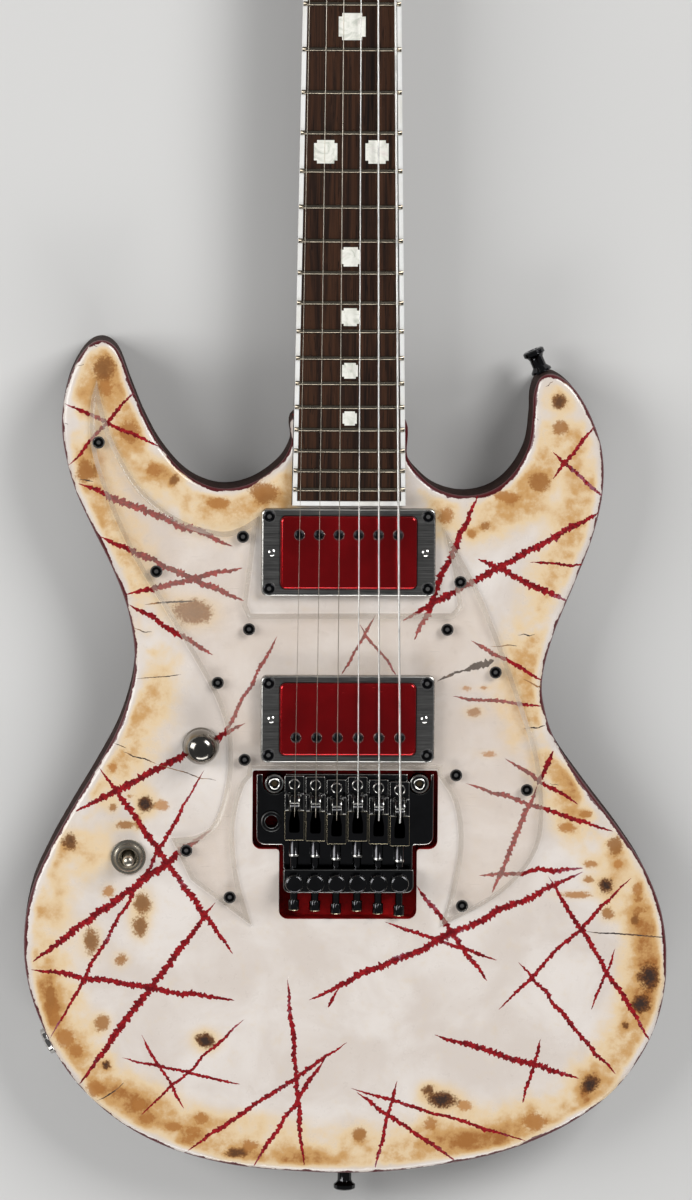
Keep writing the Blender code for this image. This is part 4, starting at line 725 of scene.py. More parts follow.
# A light copy of the ring's brushed steel for its rounded edge: a painted highlight.
RING_HIGHLIGHT = Brushed("brushed_ring_painted_highlight", "brushed_steel", (0.52, 0.51, 0.48), (0.6, 20.0, 20.0), 0.26)
RED_COVER = MirrorRed("mirror_red_cover", "mirror_red")
ROSEWOOD = Rosewood("rosewood_board", "rosewood")
PEARL = Pearl("pearl_inlay", "rosewood")
BINDING = Binding("white_binding_strip", "white_binding")
PLAIN_WIRE = Winding("plain_string_wire", "plain_string", (0.62, 0.57, 0.48))
WOUND_WIRE = Winding("wound_string_wire", "wound_string", (0.95, 0.94, 0.90), 0.42)
GUARD_FLAT = Acrylic("acrylic_flat", "clear_acrylic", Face.FLAT)
GUARD_BEVEL = Acrylic("acrylic_bevel", "clear_acrylic", Face.BEVEL)
NECK_WOOD = NeckLacquer("neck_dark_lacquer", "neck_lacquer")
PLASTIC = CoverPlastic("cover_plastic", "black_plastic")
FLOOR = FloorPaper("floor_paper", "")


# Geometry


def spline(knots: Sequence, per_span: int, closed: bool = False) -> np.ndarray:
    """Points on the Catmull-Rom curve through the knots.

    Between knots b and c, with a before and d after, the point at t is
    0.5 * (2b + (c - a)t + (2a - 5b + 4c - d)t^2 + (3b - a - 3c + d)t^3).

    Args:
        knots: the points it passes through.
        per_span: points for each span.
        closed: whether it returns to its start. An open one leaves out its last knot.

    Returns:
        An array of points.
    """
    knots = np.asarray(knots, float)
    if not closed and len(knots) == 2:
        return knots[:1]
    if closed:
        a, b, c, d = np.roll(knots, 1, 0), knots, np.roll(knots, -1, 0), np.roll(knots, -2, 0)
    else:
        padded = np.vstack([2 * knots[0] - knots[1], knots, 2 * knots[-1] - knots[-2]])
        a, b, c, d = padded[:-3], padded[1:-2], padded[2:-1], padded[3:]
    t = (np.arange(per_span) / per_span)[None, :, None]
    a, b, c, d = (p[:, None, :] for p in (a, b, c, d))
    curve = 0.5 * (2 * b + (c - a) * t + (2 * a - 5 * b + 4 * c - d) * t**2 + (3 * b - a - 3 * c + d)
                   * t**3)
    return curve.reshape(-1, knots.shape[1])


def chain(runs: Sequence, per_span: int) -> np.ndarray:
    """One closed outline from open splines that meet at corners."""
    return np.vstack([spline(run, per_span) for run in runs])


def counterclockwise(loop: np.ndarray) -> np.ndarray:
    """The loop, turned round if its signed area is negative."""
    ahead = np.roll(loop, -1, 0)
    area = (loop[:, 0] * ahead[:, 1] - ahead[:, 0] * loop[:, 1]).sum()
    return loop if area > 0 else loop[::-1]


def inset(loop: np.ndarray, distance: float, longest: float = 3.0) -> np.ndarray:
    """The loop moved inwards.

    Each point moves along the mean of its two inward normals, by distance over the cosine of half the turn,
    and never by more than `longest` times the distance.

    Args:
        loop: a counterclockwise loop.
        distance: how far each side moves.
        longest: limit at sharp points.

    Returns:
        The new loop.
    """
    ahead = np.roll(loop, -1, 0) - loop
    ahead = ahead / np.linalg.norm(ahead, axis=1)[:, None]
    inward = np.column_stack([-ahead[:, 1], ahead[:, 0]])
    both = inward + np.roll(inward, 1, 0)
    both = both / np.linalg.norm(both, axis=1)[:, None]
    stretch = 1 / np.maximum((both * inward).sum(1), 1 / longest)
    return loop + both * (stretch * distance)[:, None]


def evenly(loop: np.ndarray, step: float) -> np.ndarray:
    """The loop with its own points and more between them, so that no side is longer than the step."""
    sides = np.roll(loop, -1, 0) - loop
    counts = np.maximum(1, np.ceil(np.linalg.norm(sides, axis=1) / step).astype(int))
    owner = np.repeat(np.arange(len(loop)), counts)
    share = (np.arange(len(owner)) - np.repeat(np.cumsum(counts) - counts, counts)) / counts[owner]
    return loop[owner] + sides[owner] * share[:, None]


def rounded_box(width: float, length: float, radius: float, steps: int = 6) -> np.ndarray:
    """A rectangle about the origin whose corners are arcs, centre + radius * (cos a, sin a)."""
    turns = np.linspace(0, math.pi / 2, steps + 1)
    arc = np.column_stack([np.cos(turns), np.sin(turns)]) * radius
    loops = []
    for quarter, (sx, sy) in enumerate(((1, 1), (-1, 1), (-1, -1), (1, -1))):
        angle = quarter * math.pi / 2
        spin = np.array([[math.cos(angle), math.sin(angle)], [-math.sin(angle), math.cos(angle)]])
        loops.append(arc @ spin + (sx * (width / 2 - radius), sy * (length / 2 - radius)))
    return np.vstack(loops)


def circle(radius: float, sides: int) -> np.ndarray:
    """Points radius * (cos a, sin a) round the origin."""
    angles = np.arange(sides) * math.tau / sides
    return np.column_stack([np.cos(angles), np.sin(angles)]) * radius


def at_height(loop: np.ndarray, z: float) -> np.ndarray:
    """The flat loop as points at one height."""
    return np.column_stack([loop, np.full(len(loop), z)])


@dataclass
class Shape:
    """Loose geometry in millimetres in the maker's frame, in blocks of faces with one corner count each."""

    points: np.ndarray
    faces: list = field(default_factory=list)
    slots: list = field(default_factory=list)

    def __add__(self, other: Shape) -> Shape:
        """Both shapes in one."""
        shifted = [block + len(self.points) for block in other.faces]
        return Shape(np.vstack([self.points, other.points]), self.faces + shifted, self.slots + other.slots)

    @staticmethod
    def sheet(grid: np.ndarray, wrap: bool = True, caps: bool = True, slot: int = 0) -> Shape:
        """Quads over a grid of points, rows by columns.

        Args:
            grid: points of shape (rows, columns, 3).
            wrap: whether the last column joins the first.
            caps: whether the first and last rows are closed with a face.
            slot: the material number.

        Returns:
            The shape.
        """
        rows, columns = grid.shape[:2]
        across = columns if wrap else columns - 1
        i, j = np.meshgrid(np.arange(rows - 1), np.arange(across), indexing="ij")
        k = (j + 1) % columns
        quads = np.stack([i * columns + j, i * columns + k, (i + 1) * columns + k, (i + 1) * columns + j],
                         -1)
        faces = [quads.reshape(-1, 4)]
        if caps:
            faces += [np.arange(columns)[None, ::-1], (np.arange(columns) + (rows - 1) * columns)[None]]
        return Shape(grid.reshape(-1, 3), faces, [slot] * len(faces))

    @staticmethod
    def loft(rings: Sequence[np.ndarray], slot: int = 0) -> Shape:
        """A closed skin over rings of equal length."""
        return Shape.sheet(np.stack(rings), slot=slot)

    @staticmethod
    def turned(profile: Sequence, sides: int = 32, slot: int = 0) -> Shape:
        """A body of revolution: each (r, z) of the profile goes to (r cos a, r sin a, z)."""
        profile = np.asarray(profile, float)
        angles = np.arange(sides) * math.tau / sides
        ring = np.column_stack([np.cos(angles), np.sin(angles)])
        grid = np.concatenate([profile[:, None, :1] * ring[None],
                               np.broadcast_to(profile[:, None, 1:], (len(profile), sides, 1))], -1)
        return Shape.sheet(grid, caps=False, slot=slot)

    @staticmethod
    def knurled(profile: Sequence, sides: int, ridges: int, depth: float) -> Shape:
        """A body of revolution with ridges round its marked rings.

        The radius of such a ring is r * (1 - depth * (1 - cos(ridges * a)) / 2).

        Args:
            profile: (r, z, 1 for a ridged ring, material number of the band up to this ring).
            sides: points round each ring.
            ridges: ridges round each ring.
            depth: how deep they are, as a share of r.

        Returns:
            The shape.
        """
        angles = np.arange(sides) * math.tau / sides
        ridge = 1 - depth * (1 - np.cos(ridges * angles)) / 2
        rings = []
        for r, z, ridged, _ in profile:
            reach = r * (ridge if ridged else np.ones(sides))
            rings.append(np.column_stack([reach * np.cos(angles), reach * np.sin(angles),
                                          np.full(sides, z)]))
        pairs = zip(rings, rings[1:], profile[1:])
        return gather([Shape.sheet(np.stack([low, high]), caps=False, slot=end[3]) for low, high,
                       end in pairs])

    @staticmethod
    def slab(loop: np.ndarray, z0: float, z1: float, foot: float = 0.0, head: float = 0.0, steps: int = 4,
             slot: int = 0, edge_slot: int | None = None) -> Shape:
        """A plate over an outline, with quarter-round edges.

        Each edge is inset by r(1 - sin a) at a height of r(1 - cos a) from its face.

        Args:
            loop: the outline.
            z0: its lower face.
            z1: its upper face.
            foot: radius of its lower edge.
            head: radius of its upper edge.
            steps: bands of each rounded edge.
            slot: the material number.
            edge_slot: the rounded edges' own material number, if they have one.

        Returns:
            The shape.
        """
        loop = counterclockwise(loop)
        rings = []
        for radius, z, way in ((foot, z0, 1), (head, z1, -1)):
            turns = np.linspace(0, math.pi / 2, steps + 1) if radius else [math.pi / 2]
            edge = [at_height(inset(loop, radius * (1 - math.sin(a))) if radius and a < 1.57 else loop,
                              z + way * radius * (1 - math.cos(a))) for a in turns]
            rings += edge if way > 0 else edge[::-1]
        whole = Shape.loft(rings, slot)
        if edge_slot is not None:
            low, high = (steps * len(loop) if radius else 0 for radius in (foot, head))
            sides = whole.faces[0]
            middle = len(sides) - high
            whole.faces = [sides[:low], sides[low:middle], sides[middle:], *whole.faces[1:]]
            whole.slots = [edge_slot, slot, edge_slot, slot, slot]
        return whole

    @staticmethod
    def tube(path: np.ndarray, radius: Any, sides: int = 12, slot: int = 0) -> Shape:
        """A rod along a path: radius * (cos a * side + sin a * up) at each point, both across the path."""
        path = np.asarray(path, float)
        ahead = np.gradient(path, axis=0)
        ahead /= np.linalg.norm(ahead, axis=1)[:, None]
        reference = np.where(np.abs(ahead[:, 2:]) > 0.9, np.array([[1.0, 0.0, 0.0]]),
                             np.array([[0.0, 0.0, 1.0]]))
        side = np.cross(ahead, reference)
        side /= np.linalg.norm(side, axis=1)[:, None]
        up = np.cross(side, ahead)
        angles = np.arange(sides) * math.tau / sides
        radii = np.broadcast_to(radius, len(path))[:, None, None]
        ring = np.cos(angles)[None, :, None] * side[:, None] + np.sin(angles)[None, :, None] * up[:, None]
        return Shape.sheet(path[:, None] + ring * radii, slot=slot)

    def moved(self, x: float = 0.0, y: float = 0.0, z: float = 0.0) -> Shape:
        """The shape shifted."""
        return Shape(self.points + (x, y, z), self.faces, self.slots)

    def spun(self, matrix: Matrix) -> Shape:
        """The shape turned by a matrix about the origin."""
        turn = np.array(matrix.to_4x4())
        return Shape(self.points @ turn[:3, :3].T + turn[:3, 3], self.faces, self.slots)

    def at_each(self, places: Sequence) -> Shape:
        """A copy of the shape at each (x, y, z)."""
        whole = self.moved(*places[0])
        for place in places[1:]:
            whole += self.moved(*place)
        return whole

    def mesh(self, name: str, weld: float = 1e-3) -> bpy.types.Mesh:
        """The shape as a mesh in metres in the row's frame, with doubles merged and faces outwards.

        Args:
            name: the mesh's name.
            weld: millimetres within which points merge.

        Returns:
            The mesh.
        """
        mesh = bpy.data.meshes.new(name)
        points = (self.points + (0.0, ROW_SHIFT_Y, 0.0)) * MM
        mesh.from_pydata(points.tolist(), [], [face for block in self.faces for face in block.tolist()])
        numbers = np.concatenate([np.full(len(block), slot) for block, slot in zip(self.faces, self.slots)])
        mesh.polygons.foreach_set("material_index", numbers.astype(np.int32))
        bm = bmesh.new()
        bm.from_mesh(mesh)
        bmesh.ops.remove_doubles(bm, verts=bm.verts, dist=weld * MM)
        bmesh.ops.dissolve_degenerate(bm, edges=bm.edges, dist=weld * MM * 0.1)
        bmesh.ops.recalc_face_normals(bm, faces=bm.faces)
        bm.to_mesh(mesh)
        bm.free()
        return mesh

    def piece(self, name: str, finishes: Sequence[Finish], body: str = "guitar",
              stands_for: Sequence[str] = (),
              smooth: float = 35.0) -> bpy.types.Object:
        """Makes the shape a dressed piece that rides on a body.

        Args:
            name: the piece's name.
            finishes: one finish for each material number.
            body: the body that it rides on.
            stands_for: CAD nodes that it replaces.
            smooth: edges sharper than this angle in degrees stay sharp.

        Returns:
            The object.
        """
        mesh = self.mesh(name)
        mesh.shade_smooth()
        mesh.set_sharp_from_angle(angle=math.radians(smooth))
        return dress(mesh, name, finishes, body, stands_for)


def dress(mesh: bpy.types.Mesh, name: str, finishes: Sequence[Finish], body: str,
          stands_for: Sequence[str]) -> bpy.types.Object:
    """Makes a finished mesh a piece.

    Args:
        mesh: the mesh, in place.
        name: the piece's name.
        finishes: its finishes, by material number.
        body: the body that it rides on, or an empty name for a piece that rides on none.
        stands_for: CAD nodes that it replaces.

    Returns:
        The object.
    """
    numbers = np.zeros(len(mesh.polygons), np.int32)
    mesh.polygons.foreach_get("material_index", numbers)
    mesh.materials.clear()
    for finish in finishes:
        mesh.materials.append(finish.material())
    mesh.polygons.foreach_set("material_index", numbers)
    made = bpy.data.objects.new(name, mesh)
    bpy.context.scene.collection.objects.link(made)
    if body:
        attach(made, body)
    if stands_for:
        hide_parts(*stands_for)
    LOG.info("%s: %d faces on %s", name, len(mesh.polygons), body)
    return made


def repaint(frame: dict, finish: Finish, *nodes: str) -> None:
    """Gives CAD nodes a better finish in place of their plain one.

    Args:
        finish: the finish.
        *nodes: the nodes' names.
    """
    for node in nodes:
        materials = frame["nodes"][node].data.materials
        materials.clear()
        materials.append(finish.material())


def string_x(index: Any, y: Any) -> Any:
    """Where a string lies across: pitch * (index - 2.5), with the pitch narrowing towards the nut."""
    return (index - 2.5) * (SADDLE_PITCH + (NUT_PITCH - SADDLE_PITCH) * y / SCALE_LENGTH)


def board_half(y: Any) -> Any:
    """Half the fretboard's width at a place along it, on a straight taper."""
    share = (SCALE_LENGTH - y) / (SCALE_LENGTH - BOARD_END_Y)
    return (NUT_WIDTH + (BOARD_END_WIDTH - NUT_WIDTH) * share) / 2


def board_surface(x: Any) -> Any:
    """Height of the arched board: top - (R - sqrt(R^2 - x^2))."""
    return BOARD_TOP - (BOARD_RADIUS - np.sqrt(BOARD_RADIUS**2 - np.asarray(x, float) ** 2))


def fret_y(number: Any) -> Any:
    """Equal temperament: scale length * 2^(-n / 12)."""
    return SCALE_LENGTH * 2.0 ** (-np.asarray(number, float) / 12)


# Body


def rim_distance(points: np.ndarray, loop: np.ndarray) -> np.ndarray:
    """Distance from each point to the nearest side of the loop: |p - a - t(b - a)| with t held to 0..1.

    Args:
        points: an array of (x, y).
        loop: the outline.

    Returns:
        Distances in millimetres.
    """
    a, d = loop, np.roll(loop, -1, 0) - loop
    square = (d * d).sum(1)
    found = []
    for part in np.array_split(points, max(1, len(points) // 4000)):
        offset = part[:, None] - a[None]
        t = np.clip((offset * d).sum(2) / square, 0, 1)
        found.append(np.sqrt(((offset - t[..., None] * d) ** 2).sum(2).min(1)))
    return np.concatenate(found)


def inside(points: np.ndarray, loop: np.ndarray) -> np.ndarray:
    """Whether each point is inside the loop: a ray along x crosses its sides an odd number of times."""
    a, b = loop, np.roll(loop, -1, 0)
    found = []
    for part in np.array_split(points, max(1, len(points) // 4000)):
        x, y = part[:, :1], part[:, 1:]
        spans = (a[:, 1] > y) != (b[:, 1] > y)
        rise = np.where(b[:, 1] == a[:, 1], 1e-9, b[:, 1] - a[:, 1])
        crossing = a[:, 0] + (y - a[:, 1]) * (b[:, 0] - a[:, 0]) / rise
        found.append((spans & (x < crossing)).sum(1) % 2 == 1)
    return np.concatenate(found)


def cut_sheet(loop: np.ndarray, rings: Sequence[np.ndarray], holes: Sequence[np.ndarray], step: float,
              lines: Sequence[np.ndarray] = ()) -> tuple[np.ndarray, np.ndarray]:
    """Cuts the flat area inside a loop into triangles.

    Args:
        loop: the outline.
        rings: loops whose points are used where they lie inside the outline.
        holes: loops that are left out.
        step: width of the triangles between them.
        lines: closed loops that the triangles follow.

    Returns:
        Flat points and triangles.
    """
    fixed, edges, count = [], [], 0
    for ring in [loop, *holes, *lines]:
        index = np.arange(len(ring))
        pairs = np.column_stack([index, (index + 1) % len(ring)])
        if any(ring is line for line in lines):
            kept = inside(ring, loop) & (rim_distance(ring, loop) > 0.3)
            pairs = pairs[kept[pairs].all(1)]
        fixed.append(ring)
        edges.append(pairs + count)
        count += len(ring)
    depths = [float(np.median(rim_distance(ring, loop))) for ring in rings]
    for ring, depth in zip(rings, depths):
        fixed.append(ring[inside(ring, loop) & (rim_distance(ring, loop) > depth * 0.97)])
    low, high = loop.min(0), loop.max(0)
    x, y = np.meshgrid(np.arange(low[0], high[0], step), np.arange(low[1], high[1], step * 0.866))
    x = x + (np.arange(len(x)) % 2)[:, None] * step / 2
    grid = np.column_stack([x.ravel(), y.ravel()])
    grid = grid[inside(grid, loop)]
    fixed.append(grid[rim_distance(grid, loop) > max(depths) + step * 0.4])
    solved = delaunay_2d_cdt([Vector(p) for p in np.vstack(fixed).tolist()], np.vstack(edges).tolist(), [],
                             0, 1e-4)
    flat, triangles = np.array([tuple(v) for v in solved[0]]), np.array(solved[2])
    middle = flat[triangles].mean(1)
    kept = inside(middle, loop)
    for hole in holes:
        kept &= ~inside(middle, hole)
    return flat, triangles[kept]


@dataclass(frozen=True)
class Scar:
    """A ragged gouge or crack along a line."""

    start: tuple
    end: tuple
    half: float
    seed: int
    depth: float
    spacing: float = 0.55

    @property
    def length(self) -> float:
        """The distance from start to end."""
        return math.dist(self.start, self.end)

    def rims(self) -> tuple[np.ndarray, np.ndarray, np.ndarray]:
        """Stations along the scar with its two ragged rims.

        Half the width is half * taper * (0.5 + tooth + grit), where the taper falls to both ends, tooth is a
        saw and grit is noise. The middle line wanders a little to both sides.

        Returns:
            Distances along the line, and the offsets of the left and the right rim across it.
        """
        rng = np.random.default_rng(self.seed)
        count = max(8, int(self.length / self.spacing))
        along = np.linspace(0, self.length, count + 1)
        ends = np.minimum(along, self.length - along)
        taper = np.clip(ends / max(4.0, 0.22 * self.length), 0, 1) ** 0.55
        wander = np.interp(along, np.linspace(0, self.length, max(3, int(self.length / 7)) + 1),
                           rng.normal(0, 0.45, max(3, int(self.length / 7)) + 1)) * taper
        sides = []
        for _ in range(2):
            starts = np.cumsum(rng.uniform(1.6, 4.6, int(self.length / 1.6) + 2))
            phase = np.interp(along, starts, np.arange(len(starts)))
            tooth = (phase % 1.0) * rng.uniform(0.25, 0.85, len(starts))[phase.astype(int)]
            grit = rng.normal(0, 0.13, len(along))
            sides.append(self.half * taper * np.clip(0.5 + tooth + grit, 0.16, 1.6))
        return along, wander + sides[0], wander - sides[1]

    def axes(self) -> tuple[np.ndarray, np.ndarray]:
        """Unit vectors along and across the line."""
        along = (np.array(self.end) - self.start) / self.length
        return along, np.array([-along[1], along[0]])

    def outline(self) -> np.ndarray:
        """The two rims as one closed loop of points."""
        along, left, right = self.rims()
        forward, across = self.axes()
        rim = [np.outer(along, forward) + np.outer(side, across) + self.start for side in (left, right)]
        return np.vstack([rim[0], rim[1][-2:0:-1]])

    def reach(self, points: np.ndarray) -> np.ndarray:
        """How far each point lies from the middle of the scar, as a share of the way to its rim.

        Args:
            points: an array of (x, y).

        Returns:
            0 on the middle line, 1 on the rim, and more outside.
        """
        along, left, right = self.rims()
        forward, across = self.axes()
        offset = points - self.start
        s, q = offset @ forward, offset @ across
        high, low = np.interp(s, along, left), np.interp(s, along, right)
        share = np.abs(q - (high + low) / 2) / np.maximum((high - low) / 2, 1e-6)
        return np.where((s < 0) | (s > self.length), 9.0, share)


@dataclass
class Body:
    """The wooden body with its damaged lacquer."""

    thick: float = 42.0
    top_round: float = 3.0
    back_round: float = 5.0
    per_span: int = 8
    grid_step: float = 2.4
    knots: tuple = (
        (-25, 200), (-29.5, 184), (-36, 173.5), (-50, 164), (-66, 161.5), (-82, 168), (-95, 182),
        (-104, 198), (-111, 215), (-117.5, 231.5), (-125.5, 237), (-134, 233), (-142, 219), (-146, 200),
        (-145, 182), (-139.5, 161), (-130.5, 141), (-120, 119.5), (-112.5, 99), (-109, 78), (-110.5, 60),
        (-117, 39), (-128, 18), (-141, -4), (-152.5, -25), (-161.5, -46), (-165.5, -70), (-163.5, -94),
        (-155.5, -118), (-142, -142), (-121.5, -163), (-95, -179), (-62, -189), (-27, -193), (10, -194),
        (46, -190.5), (82, -183), (115, -169), (141, -149), (158.5, -122), (165.5, -93), (164, -63),
        (155.5, -38), (142, -16.5), (123, 8.5), (107.5, 31), (101, 50), (100.3, 66), (106, 88), (116, 113),
        (125, 137), (130, 160), (129.5, 181), (123.5, 199), (115, 213), (105.5, 220), (98, 219),
        (94.3, 210.5), (93.7, 198), (91.5, 183), (84, 169.5), (73.5, 161), (60, 158), (46.6, 161),
        (37, 168), (30, 178), (25, 200),
    )
    gouges: tuple = (
        (-145, 205, -97, 183, 1.1), (-143, 173, -109, 211, 1.0), (-138, 164, -59, 132, 1.9),
        (-127, 137, -53, 104, 1.7), (-114, 107, -54, 121, 1.5), (-112, 102, -69, 76, 1.4),
        (14, 97, -3, 66, 0.8), (6, 92, 25, 66, 0.8), (66, 159, 34, 84, 1.7), (130, 151, 28, 94, 1.9),
        (66, 126, 112, 104, 1.8), (104, 181, 130, 158, 1.1), (104, 167, 125, 194, 1.1),
        (93, 124, 121, 123, 0.8), (63, 84, 100, 63, 1.1), (54, 55, 100, 50, 1.0), (81, 23, 119, -1, 1.1),
        (61, 10, 137, -15, 1.2), (106, 27, 98, 9, 1.3), (98, 9, 75, -47, 1.4), (-36, 86, -66, 30, 1.0),
        (-73, 17, -152, -123, 1.1), (-52, 41, -139, -5, 2.0), (-127, 18, -58, -79, 1.7),
        (-69, -14, -161, -83, 2.1), (-67, -52, -137, -147, 1.9), (-162, -87, -57, -103, 1.7),
        (-52, -113, -105, -163, 0.9), (-105, -121, -83, -160, 0.9), (-115, -133, -54, -147, 0.9),
        (1, -125, -81, -182, 1.3), (-30, -92, -21, -190, 1.3), (-10, -133, -47, -190, 1.2),
        (122, -36, -19, -103, 2.0), (-4, -97, -9, -107, 1.0), (68, -38, 122, -34, 1.3),
        (36, -43, 73, -93, 1.4), (20, -62, 78, -82, 1.1), (104, -38, 158, -125, 1.4),
        (147, -39, 79, -108, 1.1), (89, -83, 140, -142, 1.2), (139, -76, 127, -108, 0.8),
        (46, -121, 121, -144, 1.7), (101, -123, 92, -157, 1.0), (3, -149, 94, -177, 1.0),
        (6, -151, 57, -187, 1.2), (27, -145, 16, -191, 1.1),
    )
    cracks: tuple = (
        (123, -67, 166, -70, 0.5), (-128, -156, -114, -146, 0.4), (-110, 90, -100, 88, 0.4),
        (-109, 64, -85, 66, 0.3), (-120, 31, -113, 28, 0.4), (-115, 26, -98, 20, 0.4),
        (-98, 20, -67, 11, 0.3), (-104, 102, -78, 104, 0.6), (-138, 224, -135, 225, 0.5),
        (-132, 235, -128, 234, 0.5), (-145, 195, -143, 194, 0.5), (-138, 166, -130, 165, 0.4),
        (100, 214, 104, 217, 0.5), (95, 198, 97, 197, 0.4), (108, 217, 112, 215, 0.5),
        (90, 64, 101, 59, 0.6), (87, 87, 96, 87, 0.4), (73, 81, 87, 81, 0.3), (90, 38, 102, 40, 0.4),
        (104, 10, 109, 9, 0.4), (46, 62.6, 60, 68.6, 0.9), (59, 68.1, 75, 73.9, 2.3),
    )
    gouge_width: float = 1.16
    gouge_depth: float = 0.4
    crack_depth: float = 0.25
    burns: tuple = (
        (-103, -1, 3.5, 4.6, 1), (-72, -124, 5.1, 4.1, 1), (50, -155, 7.1, 4.6, 1),
        (43, -150, 3.5, 3.0, .8), (134, -43, 4.1, 4.1, 1), (156, -91, 6.1, 7.1, 1),
        (153, -105, 5.1, 5.1, 1), (127, -147, 5.1, 5.1, 1), (-123, -137, 2.5, 2.5, .9),
        (-56, -183, 7.1, 3.0, .8), (-120, -3, 2.5, 2.5, .6), (-111, 3, 2.0, 1.5, .5),
        (-114, -12, 5.1, 2.0, .6), (-122, -46, 3.0, 3.0, .45), (-105, -52, 4.6, 5.1, .7),
        (-106, -64, 4.1, 5.6, .7), (-131, -72, 4.1, 7.1, .7), (-116, -82, 3.5, 3.5, .6),
        (-152, -100, 2.5, 6.1, .6), (-149, -113, 3.0, 5.1, .5), (-125, -115, 4.1, 4.1, .6),
        (-144, -123, 5.1, 5.1, .5), (-139, -129, 4.1, 4.1, .5), (-129, -149, 4.6, 4.6, .5),
        (-106, -158, 3.5, 3.5, .5), (-102, -165, 3.5, 3.0, .5), (-88, -169, 4.6, 2.5, .5),
        (-78, -171, 4.6, 2.5, .5), (-74, -165, 3.5, 3.5, .5), (-80, -176, 4.1, 2.5, .5),
        (8, -173, 4.1, 4.1, .6), (44, -168, 3.5, 3.5, .5), (62, -158, 4.1, 3.0, .4),
        (-49, -179, 4.6, 3.0, .5), (135, -58, 3.5, 3.5, .6), (145, -116, 2.0, 2.0, .8),
        (98, -167, 7.1, 5.1, .5), (107, 207, 4.1, 4.1, .8), (108, 193, 4.1, 4.1, .6),
        (70, 143, 3.0, 3.0, .6), (63, 139, 2.5, 2.5, .5), (97, 165, 6.1, 4.6, .6), (81, 158, 7.1, 3.0, .5),
        (50, 148, 4.1, 4.1, .5), (-125, 223, 6.1, 6.1, .7), (-124, 213, 4.1, 4.6, .5),
        (-112, 191, 5.1, 5.6, .55), (-89, 166, 3.0, 3.0, .7), (-100, 171, 4.1, 3.5, .5),
        (-134, 170, 5.1, 6.6, .6), (-43, 160, 8.1, 6.1, .6), (-66, 154, 6.1, 3.0, .5),
        (-79, 98, 10.1, 6.1, .7), (65, 47, 4.1, 2.5, .6), (-142, -20, 4.1, 4.6, .8),
        (138, -22, 4.0, 5.0, .65), (118, -48, 9.0, 1.8, .5), (126, -32, 3.5, 2.2, .5),
        (125, -40, 3.0, 2.0, .55), (150, -45, 3.0, 3.0, .5), (151, -50, 3.0, 1.6, .55),
        (152, -56, 4.0, 1.5, .55), (149, -61, 2.4, 3.0, .7), (113, -13, 5.0, 2.6, .45),
        (123, -6, 4.0, 1.8, .5), (140, -32, 2.4, 2.4, .4), (61, 59, 3.0, 1.6, .35),
        (70, 59.5, 2.4, 1.2, .45), (73, 25, 4.4, 1.8, .4), (-95, -2, 4.0, 3.0, .3),
        (-120, 18, 3.0, 2.4, .35), (-107, -10, 1.6, 4.6, .5),
    )
    stains: tuple = (
        (-152, -105, 7.1, 20.3, .3), (-147, -53, 6.1, 20.3, .3), (152, -66, 7.1, 20.3, .3),
        (132, -150, 15.2, 9.1, .35), (-23, -186, 30.4, 4.6, .3), (70, -176, 30.4, 6.1, .35),
        (-111, -155, 20.3, 10.1, .35), (116, 172, 7.1, 20.3, .3), (-132, 125, 5.1, 20.3, .3),
        (-112, 84, 4.1, 15.2, .3), (115, 7, 6.1, 20.3, .3), (101, 58, 3.5, 15.2, .3),
        (-126, -25, 9.1, 12.2, .3), (141, -35, 9.1, 10.1, .3), (88, 151, 20.3, 5.1, .3),
        (-86, 171, 20.3, 7.1, .3), (-54, -166, 20.3, 6.1, .25),
    )

    def outline(self) -> np.ndarray:
        """The body's outline, kept inside the box of the CAD body."""
        loop = counterclockwise(spline(self.knots, self.per_span, closed=True))
        low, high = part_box("body")
        shift = np.array([0.0, ROW_SHIFT_Y])
        return np.clip(loop, np.array(low)[:2] / MM - shift, np.array(high)[:2] / MM - shift)

    def scars(self) -> list[Scar]:
        """The gouges and then the cracks."""
        wide = [Scar(gouge[:2], gouge[2:4], gouge[4] * self.gouge_width, 100 + i, self.gouge_depth)
                for i, gouge in enumerate(self.gouges)]
        thin = [Scar(crack[:2], crack[2:4], crack[4], 300 + i, self.crack_depth)
                for i, crack in enumerate(self.cracks)]
        return wide + thin

    def top_sheet(self, loop: np.ndarray) -> tuple[np.ndarray, np.ndarray]:
        """The top seen from above, cut into triangles along the scars' rims and its rounded edge's rings.

        Args:
            loop: the outline.

        Returns:
            Flat points and triangles.
        """
        turns = np.linspace(0, math.pi / 2, 7)[:-1]
        rings = [inset(loop, self.top_round * (1 - math.sin(turn))) for turn in turns]
        return cut_sheet(loop, rings, [], self.grid_step, [scar.outline() for scar in self.scars()])

    def shell(self, loop: np.ndarray) -> Shape:
        """The whole closed body before its cavities are cut."""
        flat, triangles = self.top_sheet(loop)
        distance = np.minimum(rim_distance(flat, loop), self.top_round)
        drop = self.top_round - np.sqrt(np.maximum(self.top_round**2 - (self.top_round - distance) ** 2, 0))
        top = Shape(np.column_stack([flat, self.thick - drop]), [triangles], [0])
        rings = [at_height(loop, self.thick - self.top_round)]
        for turn in np.linspace(math.pi / 2, 0, 6):
            r = self.back_round
            rings.append(at_height(inset(loop, r * (1 - math.sin(turn))) if turn < 1.57 else loop,
                                   r * (1 - math.cos(turn))))
        sides = Shape.sheet(np.stack(rings), caps=False, slot=4)
        return top + sides + Shape(rings[-1], [np.arange(len(loop))[None]], [4])

